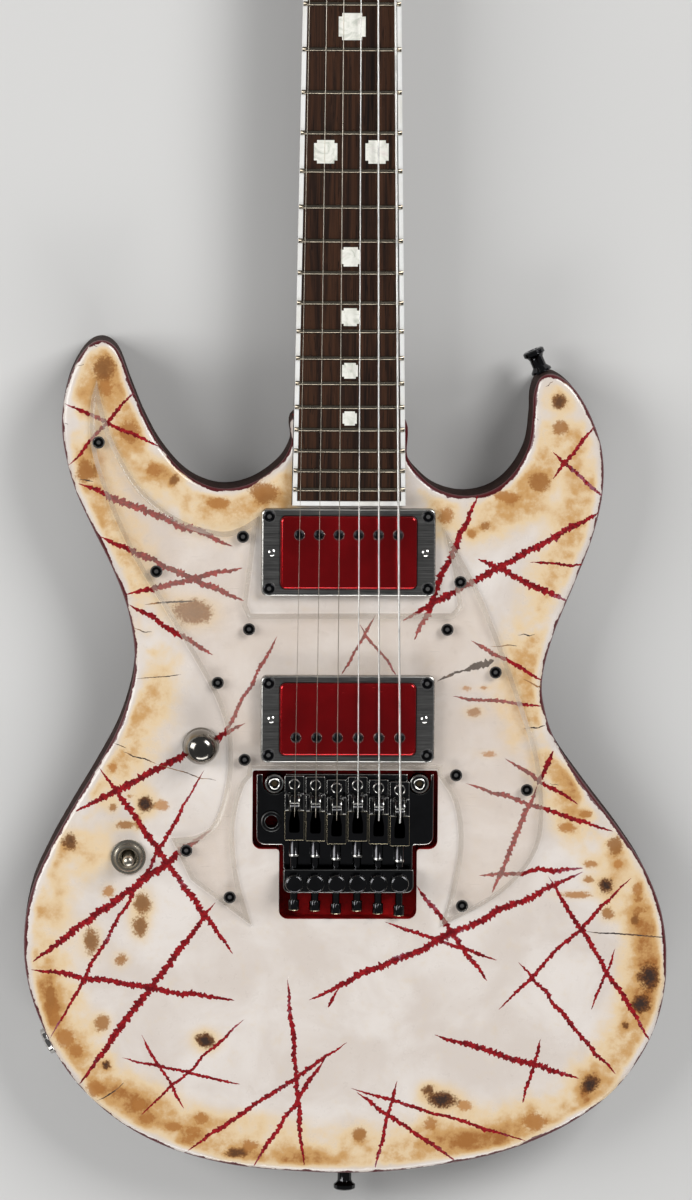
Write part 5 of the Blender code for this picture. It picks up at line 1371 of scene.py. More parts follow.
    def neck_pocket(self) -> Shape:
        """The pocket that takes the neck's heel, as wide as the fretboard is over it."""
        near, far = board_half(BOARD_END_Y) + 0.3, board_half(BOARD_END_Y + 90) + 0.3
        pocket = np.array([(-near, BOARD_END_Y - 0.3), (near, BOARD_END_Y - 0.3), (far, BOARD_END_Y + 90),
                           (-far, BOARD_END_Y + 90)])
        return Shape.slab(pocket, 22.0, self.thick + 10, slot=3)

    def cavity_shapes(self) -> list[Shape]:
        """Groups of cutters whose members don't touch each other."""
        above, below = self.thick + 10, -10.0
        first = [self.neck_pocket()]
        for y in (NECK_RING_Y, BRIDGE_RING_Y):
            half_x, half_y, ear_x, ear_y = 35.9, 19.75, 42.5, 6.0
            quarter = [(half_x, -half_y), (half_x, -ear_y), (ear_x, -ear_y)]
            right = quarter + [(x, -v) for x, v in quarter[::-1]]
            well = np.array(right + [(-x, -v) for x, v in right]) + (0, y)
            first.append(Shape.slab(well, 20.0, above, slot=3))
        control = spline(((-61, 30), (-70, 46), (-86, 48), (-103, 25), (-126, -12), (-130, -34),
                          (-118, -48), (-99, -42), (-78, -8)), 5, closed=True)
        bay = rounded_box(60, 136, 3) + (0, 36)
        recess = self.recess_outline()
        for outline, low, high in ((recess, 28.0, above), (control, below, 36.0), (bay, below, 16.0)):
            first.append(Shape.slab(outline, low, high, slot=3))
        slot_box = np.array([(-31, -31), (31, -31), (31, 3), (-31, 3)], float)
        ledge = rounded_box(70.6, 145.6, 5) + (0, 36.5)
        second = [Shape.slab(slot_box, 12.0, 32.0, slot=3), Shape.slab(ledge, below, 2.6, slot=3),
                  Shape.slab(inset(counterclockwise(control), -5.3), below, 2.6, slot=3)]
        second += [Shape.slab(circle(4.5, 20) + (x, STUD_Y), 6.0, 30.0, slot=3) for x in (-STUD_X, STUD_X)]
        second.append(Shape.slab(circle(4.6, 20) + KNOB_AT, 34.0, above, slot=3))
        second.append(Shape.slab(circle(6.2, 24) + SWITCH_AT, 34.0, above, slot=3))
        return [gather(first[0:3]), gather(first[3:]), gather(second)]

    @staticmethod
    def recess_outline() -> np.ndarray:
        """The tremolo recess: a wide part round the plate's wings and a longer, narrow one at its tail."""
        return soft_corners(plate_corners(2.0, -60.6, (1.5, 1.5, 1.5)))

    def build(self) -> None:
        """Makes the body: shell, cavities, then the scars' depth and the numbers that its finish reads."""
        loop = self.outline()
        mesh = self.shell(loop).mesh("body_skin", weld=2e-3)
        mesh = carve(mesh, self.cavity_shapes(), 5)
        jack_place, outward = side_place(loop, JACK_NEAR)
        bore = Shape.turned([(0, -40), (8.1, -40), (8.1, 20), (0, 20)], 24,
                            slot=3).spun(facing(jack_place, outward))
        mesh = carve(mesh, [bore], 5)
        points = read_points(mesh)
        flat = points[:, :2]
        edge = rim_distance(flat, loop)
        on_top = points[:, 2] > self.thick - self.top_round - 0.05
        rim = np.full(len(flat), 9.0)
        depth = np.zeros(len(flat))
        polygons = read_polygons(mesh)
        middles = polygons["middle"]
        slots = polygons["slot"]
        upward = (middles[:, 2] > self.thick - self.top_round - 0.02) & (slots != 3)
        scars = self.scars()
        for number, scar in enumerate(scars):
            reach = scar.reach(flat)
            rim = np.minimum(rim, reach)
            depth = np.maximum(depth, np.where(reach < 1, scar.depth * (1 - reach**2), 0))
            slots[upward & (scar.reach(middles[:, :2]) < 1)] = 1 if number < len(self.gouges) else 2
        slots[(slots == 4) & (middles[:, 2] > self.thick - self.top_round)] = 0
        points[:, 2] -= np.where(on_top, depth, 0)
        write_points(mesh, points)
        amber, scorch, tone = self.heat(flat)
        for name, numbers in (("edge", edge), ("rim", rim), ("amber", amber), ("scorch", scorch),
                              ("tone", tone)):
            store = mesh.attributes.new(name, "FLOAT", "POINT")
            store.data.foreach_set("value", numbers.astype(np.float32))
        mesh.polygons.foreach_set("material_index", slots.astype(np.int32))
        smooth_within_slots(mesh, 33.0)
        dress(mesh, "body_skin", (LACQUER, SCAR, CHAR, RECESS, SIDES), "guitar", ("body",))

    def heat(self, flat: np.ndarray) -> tuple[np.ndarray, np.ndarray, np.ndarray]:
        """How far each point is stained and scorched by the burns.

        With r the distance in radii of a burn of strength s, the stain is
        1 - product(1 - 0.5 s exp(-(r / 1.5)^2)), the scorch the greatest 1.1 - r, and the tone that burn's s.

        Args:
            flat: points on the top.

        Returns:
            Stain from 0 to 1, scorch from -1 to 1.1, and tone from 0 to 1.
        """
        clear = np.ones(len(flat))
        scorch = np.full(len(flat), -1.0)
        tone = np.zeros(len(flat))
        for x, y, rx, ry, strength in self.burns:
            r = np.hypot((flat[:, 0] - x) / rx, (flat[:, 1] - y) / ry)
            clear *= 1 - 0.5 * strength * np.exp(-((r / 1.5) ** 2))
            tone = np.where(1.1 - r > scorch, strength, tone)
            scorch = np.maximum(scorch, 1.1 - r)
        for x, y, rx, ry, strength in self.stains:
            r = np.hypot((flat[:, 0] - x) / rx, (flat[:, 1] - y) / ry)
            clear *= 1 - strength * np.exp(-(r**2))
        return 1 - clear, scorch, tone


def plate_corners(margin: float, back: float, small: Sequence[float]) -> list:
    """Corners (x, y, radius) of the tremolo plate's outline: two wings in front and a narrower tail behind.

    Args:
        margin: how far the outline stands outside the plate.
        back: y of the tail's end.
        small: radii of the west front corner, of both inner corners and of the east front corner.

    Returns:
        The corners, counterclockwise from the west front one.
    """
    west, east = PLATE_WEST - margin, PLATE_EAST + margin
    tail_west, tail_east = TAIL_WEST - margin, TAIL_EAST + margin
    front, wing, r = PLATE_FRONT + margin, PLATE_WING - margin, PLATE_CORNER
    first, inner, last = small
    return [(west, front, first), (west, wing, r), (tail_west, wing, inner), (tail_west, back, r),
            (tail_east, back, r), (tail_east, wing, inner), (east, wing, r), (east, front, last)]


def soft_corners(corners: Sequence, steps: int = 5) -> np.ndarray:
    """A closed polygon whose corners are arcs.

    Args:
        corners: (x, y, radius) in order.
        steps: arc steps for each corner.

    Returns:
        The loop.
    """
    places = np.array([c[:2] for c in corners], float)
    loop = []
    for before, corner, after, radius in zip(np.roll(places, 1, 0), places, np.roll(places, -1, 0),
                                             [c[2] for c in corners]):
        come = (corner - before) / np.linalg.norm(corner - before)
        leave = (after - corner) / np.linalg.norm(after - corner)
        turn = math.atan2(come[0] * leave[1] - come[1] * leave[0], come @ leave)
        side = np.array([-come[1], come[0]]) * math.copysign(1, turn)
        centre = corner - come * abs(radius * math.tan(turn / 2)) + side * radius
        angles = np.linspace(0, turn, steps + 1)
        arm = -side * radius
        loop.append(centre + np.column_stack([arm[0] * np.cos(angles) - arm[1] * np.sin(angles),
                                              arm[0] * np.sin(angles) + arm[1] * np.cos(angles)]))
    return np.vstack(loop)


def gather(shapes: Sequence[Shape]) -> Shape:
    """Several shapes as one."""
    whole = shapes[0]
    for shape in shapes[1:]:
        whole = whole + shape
    return whole


def side_place(loop: np.ndarray, near: tuple) -> tuple[np.ndarray, np.ndarray]:
    """The outline's point next to a place, and the direction that points out of it."""
    i = int(np.argmin(np.linalg.norm(loop - near, axis=1)))
    ahead = loop[(i + 1) % len(loop)] - loop[i - 1]
    return loop[i], np.array([ahead[1], -ahead[0]]) / np.linalg.norm(ahead)


def facing(place: np.ndarray, outward: np.ndarray, z: float = 21.0) -> Matrix:
    """Turns a shape made about z so that its z points outward along the ground from a place."""
    direction = Vector((*outward, 0.0))
    return Matrix.Translation((*place, z)) @ direction.to_track_quat("Z", "Y").to_matrix().to_4x4()


def carve(mesh: bpy.types.Mesh, tools: Sequence[Shape], slots: int) -> bpy.types.Mesh:
    """Cuts tools from a mesh with exact Booleans, one tool after another.

    Args:
        mesh: the mesh.
        tools: closed shapes.
        slots: how many material numbers the meshes have.

    Returns:
        A new mesh.
    """
    blank = bpy.data.materials.get("blank") or bpy.data.materials.new("blank")
    while len(mesh.materials) < slots:
        mesh.materials.append(blank)
    target = bpy.data.objects.new("carved", mesh)
    bpy.context.scene.collection.objects.link(target)
    helpers = []
    for tool in tools:
        tool_mesh = tool.mesh("tool")
        while len(tool_mesh.materials) < slots:
            tool_mesh.materials.append(blank)
        helper = bpy.data.objects.new("tool", tool_mesh)
        bpy.context.scene.collection.objects.link(helper)
        modifier = target.modifiers.new("cut", "BOOLEAN")
        modifier.operation, modifier.solver, modifier.object = "DIFFERENCE", "EXACT", helper
        helpers.append(helper)
    graph = bpy.context.evaluated_depsgraph_get()
    result = bpy.data.meshes.new_from_object(target.evaluated_get(graph))
    for helper in [*helpers, target]:
        bpy.data.objects.remove(helper, do_unlink=True)
    return result


def read_points(mesh: bpy.types.Mesh) -> np.ndarray:
    """The mesh's points in millimetres in the maker's frame."""
    flat = np.zeros(len(mesh.vertices) * 3, np.float32)
    mesh.vertices.foreach_get("co", flat)
    return flat.reshape(-1, 3).astype(float) / MM - (0.0, ROW_SHIFT_Y, 0.0)


def write_points(mesh: bpy.types.Mesh, points: np.ndarray) -> None:
    """Puts points in millimetres in the maker's frame back in the mesh."""
    placed = (points + (0.0, ROW_SHIFT_Y, 0.0)) * MM
    mesh.vertices.foreach_set("co", placed.astype(np.float32).ravel())
    mesh.update()


def read_polygons(mesh: bpy.types.Mesh) -> dict[str, np.ndarray]:
    """The middle and the material number of each polygon."""
    middle = np.zeros(len(mesh.polygons) * 3, np.float32)
    mesh.polygons.foreach_get("center", middle)
    slot = np.zeros(len(mesh.polygons), np.int32)
    mesh.polygons.foreach_get("material_index", slot)
    return {"middle": middle.reshape(-1, 3).astype(float) / MM - (0.0, ROW_SHIFT_Y, 0.0), "slot": slot}


def smooth_within_slots(mesh: bpy.types.Mesh, angle: float) -> None:
    """Smooth shading, with sharp edges at steep angles and wherever two materials meet.

    Args:
        mesh: the mesh.
        angle: degrees.
    """
    mesh.shade_smooth()
    mesh.set_sharp_from_angle(angle=math.radians(angle))
    loops = np.zeros(len(mesh.loops), np.int32)
    mesh.loops.foreach_get("edge_index", loops)
    totals = np.zeros(len(mesh.polygons), np.int32)
    mesh.polygons.foreach_get("loop_total", totals)
    slots = np.zeros(len(mesh.polygons), np.int32)
    mesh.polygons.foreach_get("material_index", slots)
    of_loop = np.repeat(slots, totals)
    low = np.full(len(mesh.edges), 99)
    high = np.full(len(mesh.edges), -1)
    np.minimum.at(low, loops, of_loop)
    np.maximum.at(high, loops, of_loop)
    store = mesh.attributes.get("sharp_edge") or mesh.attributes.new("sharp_edge", "BOOLEAN", "EDGE")
    sharp = np.zeros(len(mesh.edges), bool)
    store.data.foreach_get("value", sharp)
    store.data.foreach_set("value", sharp | (low != high))


def refined(frame: dict, node: str, finishes: Sequence[Finish], body: str,
            width: float) -> bpy.types.Object:
    """A copy of a CAD node with its triangles merged and every edge over 25 degrees bevelled.

    Args:
        node: the node that it stands for.
        finishes: one for the faces and one for the bevels.
        body: the body that it rides on.
        width: the bevels' width in millimetres.

    Returns:
        The object.
    """
    source = frame["nodes"][node]
    bm = bmesh.new()
    bm.from_mesh(source.data)
    bm.transform(source.matrix_world)
    bmesh.ops.remove_doubles(bm, verts=bm.verts, dist=2e-6)
    bmesh.ops.dissolve_limit(bm, angle_limit=math.radians(1.0), verts=bm.verts, edges=bm.edges)
    bmesh.ops.recalc_face_normals(bm, faces=bm.faces)
    for face in bm.faces:
        face.material_index = 0
    steep = [edge for edge in bm.edges
             if edge.is_manifold and edge.calc_face_angle(0.0) > math.radians(25.0)]
    bmesh.ops.bevel(bm, geom=steep, offset=width * MM, segments=2, profile=0.5, affect="EDGES",
                    clamp_overlap=True,
                    material=1, loop_slide=True)
    mesh = bpy.data.meshes.new(f"refined_{node}")
    bm.to_mesh(mesh)
    bm.free()
    mesh.shade_smooth()
    mesh.set_sharp_from_angle(angle=math.radians(35.0))
    return dress(mesh, f"refined_{node}", finishes, body, (node,))


# Guard and pickups


@dataclass
class Guard:
    """The clear guard, let down on the top by fourteen small screws."""

    bevel: float = 2.5
    fall: float = 2.0
    runs: tuple = (
        ((-128.5, 217), (-131.7, 204), (-131, 181), (-123, 155.5), (-110, 127), (-92, 97), (-72.5, 64),
         (-64, 45), (-61, 28), (-62.5, 7), (-68, -10), (-77, -17), (-90, -18.5)),
        ((-90, -18.5), (-80, -40)),
        ((-80, -40), (-48.5, -64)),
        ((-48.5, -64), (-55.5, -38.5), (-57.5, -13), (-53.5, 6.5), (-48.7, 14)),
        ((-48.7, 14), (-48.7, 17.7)),
        ((-48.7, 17.7), (46.4, 17.7)),
        ((46.4, 17.7), (46.4, 14.5)),
        ((46.4, 14.5), (55, 0), (57.5, -22), (53.5, -47), (48.5, -64.5)),
        ((48.5, -64.5), (79, -47.5), (96, -28.5), (101, -8), (98.5, 22.5), (89.5, 51.5), (78, 83),
         (65.5, 112.5), (48.5, 142.5)),
        ((48.5, 142.5), (52.5, 125.5), (56, 102)),
        ((56, 102), (53, 98)),
        ((53, 98), (-49.5, 97.5)),
        ((-49.5, 97.5), (-51.5, 102)),
        ((-51.5, 102), (-46, 147.5)),
        ((-46, 147.5), (-56, 141.5), (-67.5, 140), (-88, 147), (-107, 163), (-120, 186), (-125.6, 204),
         (-128.5, 217)),
    )
    screws: tuple = (
        (-127.5, 185.3), (-53.9, 137.3), (-98, 119.4), (-50.6, 89.8), (50.8, 89.8), (-66.5, 62.2),
        (-52.6, 22.5), (-82.3, -24.6), (-59.9, -48.8), (57.3, 114.3), (75.7, 67.8), (55.9, 14.6), (92.3, 7),
        (59.5, -53.2),
    )

    def build(self) -> None:
        """Makes the sheet and then its screws."""
        loop = evenly(counterclockwise(chain(self.runs, 8)), 1.6)
        well = rounded_box(85.0, 41.0, 1.0) + (0, BRIDGE_RING_Y)
        holes = [well, *[circle(2.3, 24) + place for place in self.screws]]
        rings = [inset(loop, self.bevel * share) for share in (0.25, 0.5, 0.75, 1.0)]
        flat, triangles = cut_sheet(loop, rings, holes, 5.0)
        distance = rim_distance(flat, loop)
        fall = self.fall * (1 - np.sin(np.clip(distance / self.bevel, 0, 1) * math.pi / 2))
        bevelled = rim_distance(flat[triangles].mean(1), loop) < self.bevel
        top = Shape(np.column_stack([flat, GUARD_TOP - fall]), [triangles[~bevelled], triangles[bevelled]],
                    [0, 1])
        under = Shape(at_height(flat, GUARD_FOOT), [triangles[:, ::-1]], [0])
        walls = [Shape.sheet(np.stack([at_height(loop, GUARD_FOOT),
                                       at_height(loop, GUARD_TOP - self.fall)]), caps=False, slot=1)]
        walls += [Shape.sheet(np.stack([at_height(hole, GUARD_FOOT), at_height(hole, GUARD_TOP)]),
                              caps=False, slot=1)
                  for hole in holes]
        mesh = gather([top, under, *walls]).mesh("guard_sheet")
        smooth_within_slots(mesh, 40.0)
        dress(mesh, "guard_sheet", (GUARD_FLAT, GUARD_BEVEL), "guitar", ("pickguard",))
        self.build_screws()

    def build_screws(self) -> None:
        """Socket-head screws in pale countersinks."""
        # The nickel ring round each head stands for the countersink's pale rim: a painted highlight.
        rim = Shape.turned([(0, -2.2), (2.1, -2.2), (2.6, 0.02), (3.15, 0.03), (3.15, 0.1), (2.65, 0.16),
                            (2.5, -0.6), (0, -0.6)], 24)
        head = Shape.turned([(0, -2.0), (2.45, -2.0), (2.45, -0.1), (2.15, 0.3), (1.05, 0.3), (1.05, -1.1),
                             (0, -1.1)], 24, slot=1)
        places = [(x, y, GUARD_TOP) for x, y in self.screws]
        (rim + head).at_each(places).piece("guard_screws", (NICKEL, BLACK_STEEL))


@dataclass
class Pickup:
    """One pickup: its mirror cover with six poles, in a brushed metal ring."""

    node: str
    y: float
    foot: float
    thick: float
    poles_at: float
    cover_stand: float = 1.8
    cover_depth: float = 19.0
    ears: tuple = (84.0, 11.0)
    window: tuple = (70.4, 38.1)
    screw_inset: float = 3.9
    height_screw_x: float = 39.2

    def build(self) -> None:
        """Makes the ring, the cover, the poles and the screws."""
        top = self.foot + self.thick
        self.build_ring(top)
        loop = rounded_box(*COVER_SIZE, 3.0, 8)
        cover_top = top + self.cover_stand
        cover = Shape.slab(loop, cover_top - self.cover_depth, cover_top, 0.0, 1.6, 6).moved(0, self.y)
        ears = Shape.slab(rounded_box(*self.ears, 0.5, 2), cover_top - 15.0,
                          cover_top - 13.4).moved(0, self.y)
        cover.piece(f"{self.node}_cover", (RED_COVER,), stands_for=(self.node,))
        ears.piece(f"{self.node}_ears", (NICKEL,))
        # Each pole is dark steel in a nickel ring with two small nickel bars on its top: ring and bars are
        # painted highlights.
        rim = Shape.turned([(2.3, -0.8), (2.75, -0.8), (2.75, 0.1), (2.5, 0.35), (2.3, 0.1), (2.3, -0.8)],
                           28)
        pole = Shape.turned([(0, -0.8), (2.25, -0.8), (2.25, 0.15), (1.7, 0.42), (0.8, 0.5), (0, 0.5)], 28,
                            slot=1)
        glints = Shape.slab(rounded_box(1.0, 0.5, 0.1, 1), 0.1, 0.44).at_each([(1.25, 0, 0), (-1.25, 0, 0)])
        places = [(string_x(i, self.y + self.poles_at), self.y + self.poles_at, cover_top)
                  for i in range(6)]
        (rim + pole + glints).at_each(places).piece(f"{self.node}_poles", (NICKEL, BLACK_STEEL))

    def build_ring(self, top: float) -> None:
        """The ring with its window, four socket screws in countersinks and two height screws."""
        # The ring's rounded top edge takes a light copy of its steel: a painted highlight.
        outer = Shape.slab(rounded_box(*RING_SIZE, 3.0, 6), self.foot, top, 0.0, 0.8, 3,
                           edge_slot=1).moved(0, self.y)
        window = Shape.slab(rounded_box(*self.window, 3.2, 6), self.foot - 5, top + 5).moved(0, self.y)
        mesh = carve(outer.mesh("ring"), [window], 2)
        smooth_within_slots(mesh, 35.0)
        dress(mesh, f"{self.node}_ring_steel", (RING_STEEL, RING_HIGHLIGHT), "guitar", (f"{self.node}_ring",))
        # The nickel ring under each screw head stands for the countersink's shiny rim: a painted highlight.
        corner = Shape.turned([(0, -0.6), (2.9, -0.6), (2.95, 0.12), (3.4, 0.16), (3.45, 0.02), (0, 0.02)],
                              28)
        head = Shape.turned([(0, -0.3), (2.8, -0.3), (2.8, 0.5), (2.3, 0.85), (1.1, 0.85), (1.1, -0.1),
                             (0, -0.1)], 28, slot=1)
        x, y = (size / 2 - self.screw_inset for size in RING_SIZE)
        places = [(sx * x, self.y + sy * y, top) for sx in (-1, 1) for sy in (-1, 1)]
        screws = (corner + head).at_each(places)
        height = Shape.turned([(0, -0.3), (1.9, -0.3), (1.8, 0.6), (1.1, 1.0), (0.5, 1.05), (0.4, 0.5),
                               (0, 0.5)], 24)
        screws += height.at_each([(x, self.y, top) for x in (-self.height_screw_x, self.height_screw_x)])
        screws.piece(f"{self.node}_ring_screws", (NICKEL, BLACK_STEEL))


# Neck


class Inlay(Enum):
    """Which squares a fret has: one between the middle strings, or two."""

    SINGLE = (0.0,)
    DOUBLE = (-13.0, 13.0)


@dataclass
class Neck:
    """The fretboard with frets, pearl squares and binding, and the neck with its head."""

    frets: int = 24
    inlays: tuple = ((3, Inlay.SINGLE, 14.5), (5, Inlay.SINGLE, 14.5), (7, Inlay.SINGLE, 14.0),
                     (9, Inlay.SINGLE, 13.6),
                     (12, Inlay.DOUBLE, 11.8), (15, Inlay.SINGLE, 9.8), (17, Inlay.SINGLE, 9.0),
                     (19, Inlay.SINGLE, 8.0),
                     (21, Inlay.SINGLE, 7.2))

    def build(self, frame: dict) -> None:
        """Makes the board, the frets and the inlays, and repaints the neck.
        """
        self.board().piece("rosewood_board", (ROSEWOOD,), stands_for=("fretboard",))
        self.fret_wires().piece("fret_wires", (FRET_WIRE,), smooth=50.0)
        self.squares().piece("pearl_squares", (PEARL,))
        repaint(frame, BINDING, "fretboard_binding")
        repaint(frame, NECK_WOOD, "neck")

    def board(self) -> Shape:
        """A tapered block with an arched top, ring by ring along y."""
        rings = []
        for y in np.linspace(BOARD_END_Y + 2.6, SCALE_LENGTH, 24):
            half = board_half(y) - 2.6
            across = np.linspace(-half, half, 17)
            top = np.column_stack([across, np.full(17, y), board_surface(across)])
            rings.append(np.vstack([top, [(half, y, 43.3), (-half, y, 43.3)]]))
        return Shape.loft(rings)

    def fret_wires(self) -> Shape:
        """Crowned bars across the board: height 1.05 * sqrt(1 - (side / 1.25)^2), falling at both ends."""
        bars = []
        angles = np.linspace(0, math.pi, 9)
        for number in range(1, self.frets + 1):
            y = float(fret_y(number))
            half = board_half(y) - 0.25
            shares = np.array([-1, -0.985, -0.955, -0.9, *np.linspace(-0.75, 0.75, 7), 0.9, 0.955, 0.985,
                               1])
            tall = np.clip((1 - np.abs(shares)) / 0.06, 0.12, 1) ** 0.5
            x = shares * half
            base = board_surface(x) - 0.05
            grid = np.stack([
                np.broadcast_to(x[:, None], (len(x), len(angles))),
                y + np.broadcast_to(-1.15 * np.cos(angles), (len(x), len(angles))),
                base[:, None] + 1.05 * tall[:, None] * np.sin(angles)[None],
            ], -1)
            bars.append(Shape.sheet(grid))
        return gather(bars)

    def squares(self) -> Shape:
        """Thin pearl squares with a small notch out of each corner, each tilted as the board is there."""
        plates = []
        for number, kind, size in self.inlays:
            y = float(fret_y(number - 1) + fret_y(number)) / 2
            notch, half = size * 0.13, size / 2
            quarter = np.array([(half, half - notch), (half - notch, half - notch), (half - notch, half)])
            loop = np.vstack([quarter, quarter[::-1] * (-1, 1), -quarter, quarter[::-1] * (1, -1)])
            for x in kind.value:
                slope = float(board_surface(x + half) - board_surface(x - half)) / size
                plate = Shape.slab(loop + (x, y), -0.4, 0.04)
                level = float(board_surface(x)) + slope * (plate.points[:, 0] - x)
                plates.append(Shape(plate.points + np.column_stack([level * 0, level * 0, level]),
                                    plate.faces, plate.slots))
        return gather(plates)


@dataclass
class Strings:
    """Six strings from the saddles over the nut to the posts."""

    def path(self, index: int) -> np.ndarray:
        """The line of one string, as the CAD part has it, with its bends eased."""
        radius = STRING_RADII[index]
        last, first = np.array(LAST_POST), np.array(FIRST_POST)
        post = last + (first - last) * index / 5
        nut_far, seat_z, bar_y = SCALE_LENGTH + 15.5, 50.6, 677.0
        share = (bar_y - SCALE_LENGTH - 16.5) / (FIRST_POST[1] - SCALE_LENGTH - 16.5)
        bar_z = seat_z + (HEAD_FACE + 6.0 - seat_z) * min(1.0, share * 1.6)
        beside = post[0] - 3.3 - radius
        x_far = string_x(index, nut_far)
        under = x_far + (beside - x_far) * (bar_y - nut_far) / (post[1] - nut_far)
        seat, back = string_x(index, 0.0), -SADDLE_SETS[index]
        return np.array([
            (seat, back - 6.4, 49.0 + radius), (seat, back - 2.6, 51.7 + radius),
            (seat, back - 0.8, 52.42 + radius),
            (seat, back + 1.0, 52.58 + radius),
            (string_x(index, SCALE_LENGTH), SCALE_LENGTH, seat_z + radius),
            (x_far, nut_far, seat_z + radius), (under, bar_y, bar_z - radius),
            (beside, post[1], HEAD_FACE + 6.0),
        ])

    def build(self) -> None:
        """Makes each string as a rod along its path."""
        for index, radius in enumerate(STRING_RADII):
            finish = PLAIN_WIRE if index < 3 else WOUND_WIRE
            wire = Shape.tube(self.path(index), radius, 12)
            made = wire.piece(f"string_wire_{index + 1}", (finish,), "", (f"string_{index + 1}",), 60.0)
            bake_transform(made)


# Bridge


@dataclass
class Bridge:
    """The floating tremolo, its studs and what lies in the body behind it."""

    plate_edge: float = 0.5
    notch: float = 5.85
    knife_y: tuple = (3.9, 6.1)
    arm: tuple = (-38.6, -9.9)
    stem_y: float = -40.3
    bar_y: tuple = (-45.8, -33.5)
    bar_z: tuple = (47.8, 50.3)
    lock_z: float = 44.6
    saddle_floor: float = 41.3
    half_saddle: float = 5.05
    springs_at: tuple = (-18.0, 0.0, 18.0)
    spring_z: float = 8.6

    def build(self, frame: dict) -> None:
        """Makes the plate, its rear bar, the saddles, the studs and the knobs, and repaints the rest.
        """
        self.base_plate()
        self.rear_bar()
        self.studs()
        self.arm_socket()
        for i in range(6):
            self.saddle(i)
            self.fine_tuner(i)
        # The bevels of the block and the claw take the light edge finish: painted highlights.
        refined(frame, "sustain_block", (CAST, HIGHLIGHT_EDGE), "tremolo", 0.5)
        refined(frame, "spring_claw", (NICKEL, HIGHLIGHT_EDGE), "guitar", 0.3)
        self.springs()

    def base_plate(self) -> None:
        """The plate, with a notch round each stud, a hole for the arm's socket and the studs' knife edges."""
        corners = plate_corners(0.0, PLATE_BACK, (1.2, 1.0, 0.6))
        deep, round_end = STUD_Y - self.notch, self.notch - 0.05
        for x in (STUD_X, -STUD_X):
            east, west = x + self.notch, x - self.notch
            corners += [(east, PLATE_FRONT, 0.6), (east, deep, round_end), (west, deep, round_end),
                        (west, PLATE_FRONT, 0.8)]
        # The plate's rounded top edge takes the light edge finish: a painted highlight.
        plate = Shape.slab(soft_corners(corners), PLATE_BOTTOM, PLATE_TOP, 0.0, self.plate_edge, 3,
                           edge_slot=1)
        hole = Shape.turned([(0, 30), (4.65, 30), (4.65, 50), (0, 50)], 40).moved(*self.arm)
        mesh = carve(plate.mesh("tremolo_plate"), [hole], 2)
        smooth_within_slots(mesh, 35.0)
        dress(mesh, "tremolo_plate", (BLACK_CHROME, HIGHLIGHT_EDGE), "tremolo", ("base_plate",))
        near, far = self.knife_y
        blade = np.array([(-2.4, near), (2.4, near), (2.4, far), (-2.4, far)])
        edges = [Shape.slab(blade + (x, 0), KNIFE_Z - 0.5, KNIFE_Z + 0.5, 0.4, 0.4, 2)
                 for x in (-STUD_X, STUD_X)]
        gather(edges).piece("knife_edges", (BLACK_CHROME,), "tremolo")

    def rear_bar(self) -> None:
        """The raised bar over the lock screws, on two walls, with a hole for each fine tuner."""
        back, front = self.bar_y
        corners = ((TAIL_WEST, front, 1.0), (TAIL_EAST, front, 1.0), (TAIL_EAST, back, 3.6),
                   (TAIL_WEST, back, 3.6))
        # The bar's rounded edges take the dim edge finish: a faint painted highlight.
        bar = Shape.slab(soft_corners(corners), *self.bar_z, 0.3, 0.6, 3, edge_slot=1)
        hole = Shape.turned([(0, 44), (2.35, 44), (2.35, 54), (0, 54)], 24)
        holes = [hole.moved(string_x(i, 0.0), self.stem_y) for i in range(6)]
        mesh = carve(bar.mesh("tremolo_bar"), [gather(holes)], 2)
        smooth_within_slots(mesh, 35.0)
        dress(mesh, "tremolo_bar", (BLACK_CHROME, DIM_HIGHLIGHT), "tremolo", ())
        wall = rounded_box(2.0, 8.8, 0.6, 3)
        walls = [Shape.slab(wall + (x, -38.2), PLATE_TOP, self.bar_z[0])
                 for x in (TAIL_WEST + 1, TAIL_EAST - 1)]
        gather(walls).piece("tremolo_bar_walls", (BLACK_CHROME,), "tremolo")

    def studs(self) -> None:
        """Two pivot studs: a shaft, a waist for the knife edge and a head with a hex socket; painted
        highlight rings lie on the head and a painted brass-tinted glint in the socket.
        """
        head = [(0, 42.9), (1.75, 42.9), (1.75, 44.55), (3.7, 44.55), (3.9, 44.9), (4.4, 44.9),
                (4.85, 44.5), (4.85, 41.9), (3.5, 41.9), (3.5, 37.1), (4.85, 37.1), (4.85, 28.3),
                (4.2, 28.3), (4.2, 12.0), (0, 12.0)]
        # The rim and inner rings are painted highlights on the head; the socket's floor carries a painted
        # brass-tinted glint.
        rim = [(3.95, 44.9), (4.4, 44.9), (4.8, 44.55), (4.8, 44.4), (4.35, 44.7), (3.95, 44.75),
               (3.95, 44.9)]
        inner = [(2.3, 44.55), (2.6, 44.7), (2.9, 44.55), (2.6, 44.4), (2.3, 44.55)]
        whole = Shape.turned(head, 40)
        whole += Shape.turned(rim, 40, slot=1).moved(z=0.02)
        whole += Shape.turned(inner, 40, slot=1)
        whole += Shape.turned([(0, 43.0), (1.7, 43.0), (1.7, 43.2), (0, 43.25)], 6, slot=2)
        places = [(x, STUD_Y, 0.0) for x in (-STUD_X, STUD_X)]
        whole.at_each(places).piece("pivot_studs", (BLACK_CHROME, HIGHLIGHT_EDGE, BRASS_GLINT), "guitar",
                                    ("pivot_stud_bass", "pivot_stud_treble"))

    def arm_socket(self) -> None:
        """The arm's empty socket: a collar with painted highlight rings on its lip and brow, a tube and a nut
        under the plate.
        """
        wall = [(3.2, 43.0), (3.6, 43.05), (5.0, 42.8), (5.4, 42.2), (5.4, 41.3), (4.35, 41.3),
                (4.35, 37.7), (6.0, 37.7), (6.0, 34.0), (3.05, 34.0), (3.05, 42.7), (3.2, 43.0)]
